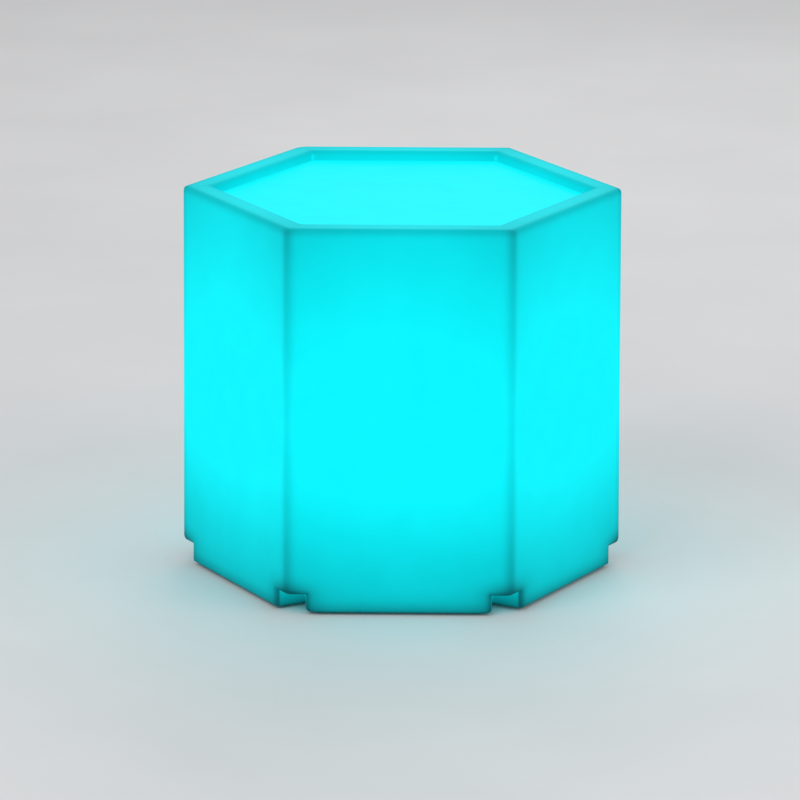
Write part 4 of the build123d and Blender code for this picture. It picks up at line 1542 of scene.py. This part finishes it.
@dataclass
class LampUnit:
    """The battery lamp in the port: its cells, boards, lights, shells and leads."""

    rings: tuple[float, float, float] = (12.0 * MM, 27.0 * MM, 40.0 * MM)
    chip: float = 5.0 * MM
    chip_low: float = 55.6 * MM
    chip_shoulder: float = 56.75 * MM
    dish: tuple[float, float] = (1.9 * MM, 2.2 * MM)
    dish_depth: float = 0.3 * MM
    dish_top: float = 60.0 * MM
    cell_centre: Point = (0.0, 21.6 * MM, 19.2 * MM)
    cell_span: float = 37.4 * MM
    can_centre: Point = (-0.84 * MM, 37.92 * MM, 0.0)
    can_span: float = 42.0 * MM

    def lights(self) -> None:
        """Makes the light chips: square packages with a dish and a lens, in three rings."""
        chip = {"Chip width": self.chip, "Low": self.chip_low, "Shoulder": self.chip_shoulder}
        rings = {f"Ring {number}": radius for number, radius in enumerate(self.rings, 1)}
        recipe = Recipe("Light rings")
        lens = recipe.own()
        width, low, shoulder = recipe.lengths(chip)
        bottom, rim = self.dish
        dish_low = recipe.less(shoulder, self.dish_depth)
        dish = recipe.prism(20, bottom, dish_low, self.dish_top, rim)
        package = recipe.cut(recipe.block(width, width, low, shoulder), dish)
        light = recipe.join(package, lens)
        circles = [
            recipe.ring(light, SIDES * number, recipe.size(name))
            for number, name in enumerate(rings, 1)
        ]
        recipe.finish(recipe.join(*circles))
        dome = ((0.0, 56.3), (1.85, 56.3), (1.85, 56.8), (1.6, 57.0), (1.1, 57.15), (0.0, 57.2))
        mesh = Turning(dome, 20).mesh("lens")
        piece = recipe.grow("led_chips_lensed", Resin("chip_resin"), chip | rings, mesh)
        soften(piece)
        stand_for(piece, "led_chips")

    def cells(self) -> None:
        """Makes the sleeved cells with their steel ends."""
        half = 32.6
        profile = (
            (0.0, -half),
            (8.3, -half),
            (8.5, -half + 0.3),
            (8.5, -half + 0.9),
            (9.0, -half + 0.8),
            (9.2, -half + 1.4),
            (9.2, half - 2.2),
            (9.0, half - 1.5),
            (8.3, half - 1.2),
            (7.2, half - 1.3),
            (4.6, half - 1.1),
            (4.4, half - 0.5),
            (3.9, half),
            (0.0, half),
        )
        shape = Turning(profile, 40, lying=True)
        layout = GridLayout(1, 3, 0.0, self.cell_span, self.cell_centre)
        TurnedSet("battery_cells", Slot.CELL, shape, layout, Sleeve("cell_sleeve")).build()

    def capacitors(self) -> None:
        """Makes the sleeved cans with their crimps and scored vents."""
        profile = (
            (0.0, 36.6),
            (3.7, 36.6),
            (3.8, 37.2),
            (3.4, 37.7),
            (3.4, 38.1),
            (4.0, 38.6),
            (4.0, 45.9),
            (3.8, 46.4),
            (3.2, 46.6),
            (0.0, 46.6),
        )
        shape = Turning(profile, 28)
        layout = GridLayout(2, 1, self.can_span, 0.0, self.can_centre)
        finish = Sleeve(
            "can_sleeve", (0.03, 0.03, 0.05), ripple=(1.0, 1.0, 0.3), axis=2, bare=46.2 * MM
        )
        vent = Cross(4.8 * MM, 0.35 * MM, 46.35 * MM, 47.5 * MM)
        TurnedSet("board_capacitors", Slot.CAPACITOR, shape, layout, finish, vent).build()

    def build(self) -> None:
        """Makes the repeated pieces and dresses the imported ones."""
        self.lights()
        self.cells()
        self.capacitors()
        base = Moulded("base_moulding", (0.80, 0.82, 0.81), 0.42, mottle=0.035)
        dress(base, "lamp_base", "lamp_tub", "control_housing")
        dress(Moulded("strap_moulding", (0.12, 0.13, 0.14), 0.5), "battery_bracket")
        dress(Moulded("seal_rubber", (0.13, 0.14, 0.15), 0.72), "base_gasket", "diffuser_seal")
        dress(Metal("nickel_strip", (0.68, 0.66, 0.62), 0.32, (1.0, 0.08, 1.0)), "battery_tabs")
        dress(Lacquer("green_lacquer"), "control_board")
        white = Lacquer("white_lacquer", (0.84, 0.85, 0.84), (0.80, 0.81, 0.80), 9.0 * MM)
        dress(white, "led_board")
        ivory = Moulded("connector_moulding", (0.84, 0.81, 0.72), 0.4, mottle=0.05)
        dress(ivory, "board_connectors")
        dress(Moulded("chip_moulding", (0.035, 0.035, 0.04), 0.48, 0.35 * MM), "board_chips")
        rolled = Metal("rolled_aluminium", (0.76, 0.77, 0.78), 0.36, (1.0, 0.04, 1.0))
        dress(rolled, "heat_spreader")
        dress(Opal("opal_diffuser"), "diffuser")
        red = Moulded("red_sleeve", (0.50, 0.05, 0.04), 0.35, 1.2 * MM, coat=0.3)
        dress(red, "battery_leads", "led_leads", "light_leads", "switch_leads", "socket_leads")


@dataclass
class Controls:
    """The push switch, charging socket, its hinged cover and the charge light."""

    centre: tuple[float, float] = (-26.0 * MM, -32.0 * MM)
    shoulder_width: float = 12.4 * MM
    shoulder_low: float = 20.25 * MM
    shoulder_high: float = 21.75 * MM

    def button(self) -> None:
        """Makes the button: dished crown, square shoulder and stem."""
        values = {
            "Shoulder width": self.shoulder_width,
            "Shoulder low": self.shoulder_low,
            "Shoulder high": self.shoulder_high,
            "Centre X": self.centre[0],
            "Centre Y": self.centre[1],
        }
        recipe = Recipe("Button")
        turned = recipe.own()
        width, low, high, x, y = recipe.lengths(values)
        crown = recipe.fuse(turned, recipe.block(width, width, low, high))
        recipe.finish(recipe.move(crown, recipe.vector(x, y)))
        profile = (
            (0.0, 15.5),
            (1.6, 15.4),
            (3.0, 15.1),
            (3.9, 14.75),
            (4.3, 14.7),
            (4.8, 14.95),
            (5.0, 15.5),
            (5.0, 20.9),
            (1.8, 20.9),
            (1.8, 29.9),
            (1.5, 30.2),
            (0.0, 30.2),
        )
        finish = Moulded("button_moulding", (0.74, 0.76, 0.75), 0.3, coat=0.25, mottle=0.04)
        mesh = Turning(profile, 40).mesh("button_crown")
        piece = recipe.grow("power_button_dished", finish, values, mesh)
        soften(piece)
        stand_for(piece, "power_button", Body.BUTTON)

    def build(self) -> None:
        """Makes the button and dresses the other controls."""
        self.button()
        switch = Moulded("switch_moulding", (0.05, 0.05, 0.055), 0.36, 0.5 * MM)
        dress(switch, "switch_body", "switch_clip", "charge_socket", "socket_clip")
        dress(Moulded("switch_seal_rubber", (0.13, 0.14, 0.15), 0.72), "switch_seal")
        soft = Moulded("cover_rubber", (0.09, 0.095, 0.10), 0.66, 0.5 * MM, 0.04 * MM)
        dress(soft, "socket_cover")
        dress(Metal("spring_wire", (0.62, 0.62, 0.63), 0.26, (1.0, 1.0, 1.0)), "button_spring")
        tinned = Metal("tinned_brass", (0.78, 0.70, 0.48), 0.3, (1.0, 1.0, 0.1))
        dress(tinned, "switch_terminals", "socket_terminals", "socket_pin")
        dress(Metal("pin_steel", (0.6, 0.6, 0.61), 0.25, (0.06, 1.0, 1.0)), "cover_pin")
        pale, green = (0.55, 0.82, 0.58), (0.05, 0.5, 0.1)
        dress(Resin("indicator_resin", pale, green, 24.0 * MM, 17.5 * MM), "charge_light")


@dataclass
class Feet:
    """The six rubber feet: grooved sole, six-sided flare and barbed stem."""

    circle: float = ShellSizes.foot_circle

    def build(self) -> None:
        """Makes the feet as one mesh."""
        profile = (
            (0.0, 0.7),
            (5.0, 0.7),
            (5.7, 0.0),
            (7.9, 0.0),
            (8.2, 0.5),
            (8.8, 0.5),
            (9.1, 0.0),
            (10.7, 0.0),
            (11.3, 0.4),
            (11.9, 2.6),
            (11.7, 3.0),
            (3.4, 3.0),
            (3.4, 7.1),
            (4.7, 7.1),
            (4.5, 7.7),
            (2.4, 11.1),
            (0.0, 11.1),
        )
        rubber = Moulded("foot_rubber", (0.045, 0.045, 0.05), 0.68, 0.5 * MM, 0.05 * MM)
        layout = RingLayout(SIDES, self.circle, HALF_SECTOR)
        TurnedSet("rubber_feet", Slot.FOOT, Turning(profile, 36), layout, rubber).build()


@dataclass(frozen=True)
class Lamp:
    """One soft square lamp: its place and size in metres, and its power in watts."""

    name: str
    place: Point
    size: float
    power: float

    def hang(self, aim: Vector) -> None:
        """Hangs the lamp so that it faces a point.

        Args:
            aim: The point.
        """
        data = bpy.data.lights.new(self.name, "AREA")
        data.size = self.size
        data.energy = self.power
        lamp = bpy.data.objects.new(self.name, data)
        lamp.location = self.place
        lamp.rotation_euler = (aim - lamp.location).to_track_quat("-Z", "Y").to_euler()
        bpy.context.scene.collection.objects.link(lamp)


@dataclass
class Studio:
    """Plain pale floor, soft lights and the camera at the photograph's view."""

    focus: float = 5395.0
    frame_width: float = 800.0
    sensor: float = 36.0
    distance: float = 6.1235
    elevation: float = math.radians(14.951)
    heading: float = math.radians(0.687)
    roll: float = math.radians(0.196)
    look_at: tuple[float, float] = (-0.00196, 0.18942)
    floor_size: float = 30.0
    room_light: float = 0.55
    backdrop: Colour = (0.93, 0.94, 0.95)
    lamps: tuple[Lamp, ...] = (
        Lamp("key", (-1.8, -2.4, 2.6), 2.2, 34.0),
        Lamp("fill", (2.6, -1.6, 1.8), 2.4, 18.0),
        Lamp("back", (0.6, 2.6, 2.2), 2.0, 16.0),
    )

    def camera(self) -> None:
        """Sets the camera from the fit to the photograph's outline."""
        turn = Matrix.Rotation(self.heading, 3, "Z")
        ahead = turn @ Vector((0, math.cos(self.elevation), -math.sin(self.elevation)))
        up = turn @ Vector((0, math.sin(self.elevation), math.cos(self.elevation)))
        right = ahead.cross(up)
        place = turn @ Vector((self.look_at[0], 0, self.look_at[1])) - ahead * self.distance
        tilted_right = right * math.cos(self.roll) + up * math.sin(self.roll)
        tilted_up = up * math.cos(self.roll) - right * math.sin(self.roll)
        data = bpy.data.cameras.new("view")
        data.sensor_width = self.sensor
        data.lens = self.focus / self.frame_width * self.sensor
        data.clip_end = 100.0
        view = bpy.data.objects.new("view", data)
        axes = Matrix((tilted_right, tilted_up, -ahead)).transposed()
        view.matrix_world = Matrix.Translation(place) @ axes.to_4x4()
        bpy.context.scene.collection.objects.link(view)
        bpy.context.scene.camera = view

    def floor(self) -> None:
        """Lays the pale floor."""
        half = self.floor_size / 2
        mesh = bpy.data.meshes.new("floor")
        corners = [(-half, -half, 0), (half, -half, 0), (half, half, 0), (-half, half, 0)]
        mesh.from_pydata(corners, [], [(0, 1, 2, 3)])
        shader = Shader("floor_paint")
        cloud = shader.noise(3.0, 4.0)
        tint = shader.mix(shader.spread(cloud, 0.0, 1.0), (0.76, 0.76, 0.77), (0.80, 0.80, 0.81))
        shader.set(Base_Color=tint, Roughness=0.6, Specular_IOR_Level=0.2)
        mesh.materials.append(shader.material)
        floor = bpy.data.objects.new("floor", mesh)
        bpy.context.scene.collection.objects.link(floor)

    def world(self) -> None:
        """Fills the room with even, neutral light and a pale background."""
        world = bpy.data.worlds.new("room")
        world.use_nodes = True
        tree = Tree(world.node_tree)
        room = tree.tree.nodes["Background"]
        room.inputs["Color"].default_value = (1.0, 1.0, 1.0, 1.0)
        room.inputs["Strength"].default_value = self.room_light
        seen = tree.node("ShaderNodeBackground", (*self.backdrop, 1.0))
        rays = tree.node("ShaderNodeLightPath").outputs
        direct = rays["Is Camera Ray"]
        for kind in ("Transmission", "Glossy"):
            direct = tree.math("MAXIMUM", direct, rays[f"Is {kind} Ray"])
        pick = tree.node("ShaderNodeMixShader", direct, room.outputs[0], seen.outputs[0])
        tree.feed(tree.tree.nodes["World Output"].inputs["Surface"], pick.outputs[0])
        bpy.context.scene.world = world

    def build(self) -> None:
        """Sets up the whole studio."""
        bpy.context.scene.view_settings.view_transform = "Standard"
        self.camera()
        self.floor()
        self.world()
        for lamp in self.lamps:
            lamp.hang(Vector((0, 0, self.look_at[1])))


def main() -> None:
    """Builds the studio and every piece, and reports each one."""
    logging.basicConfig(level=logging.INFO, format="%(name)s: %(message)s")
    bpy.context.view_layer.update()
    Studio().build()
    for assembly in (PlinthShell(), Feet(), Fasteners(), LampUnit(), Controls()):
        assembly.build()


if __name__ == "__main__":
    main()
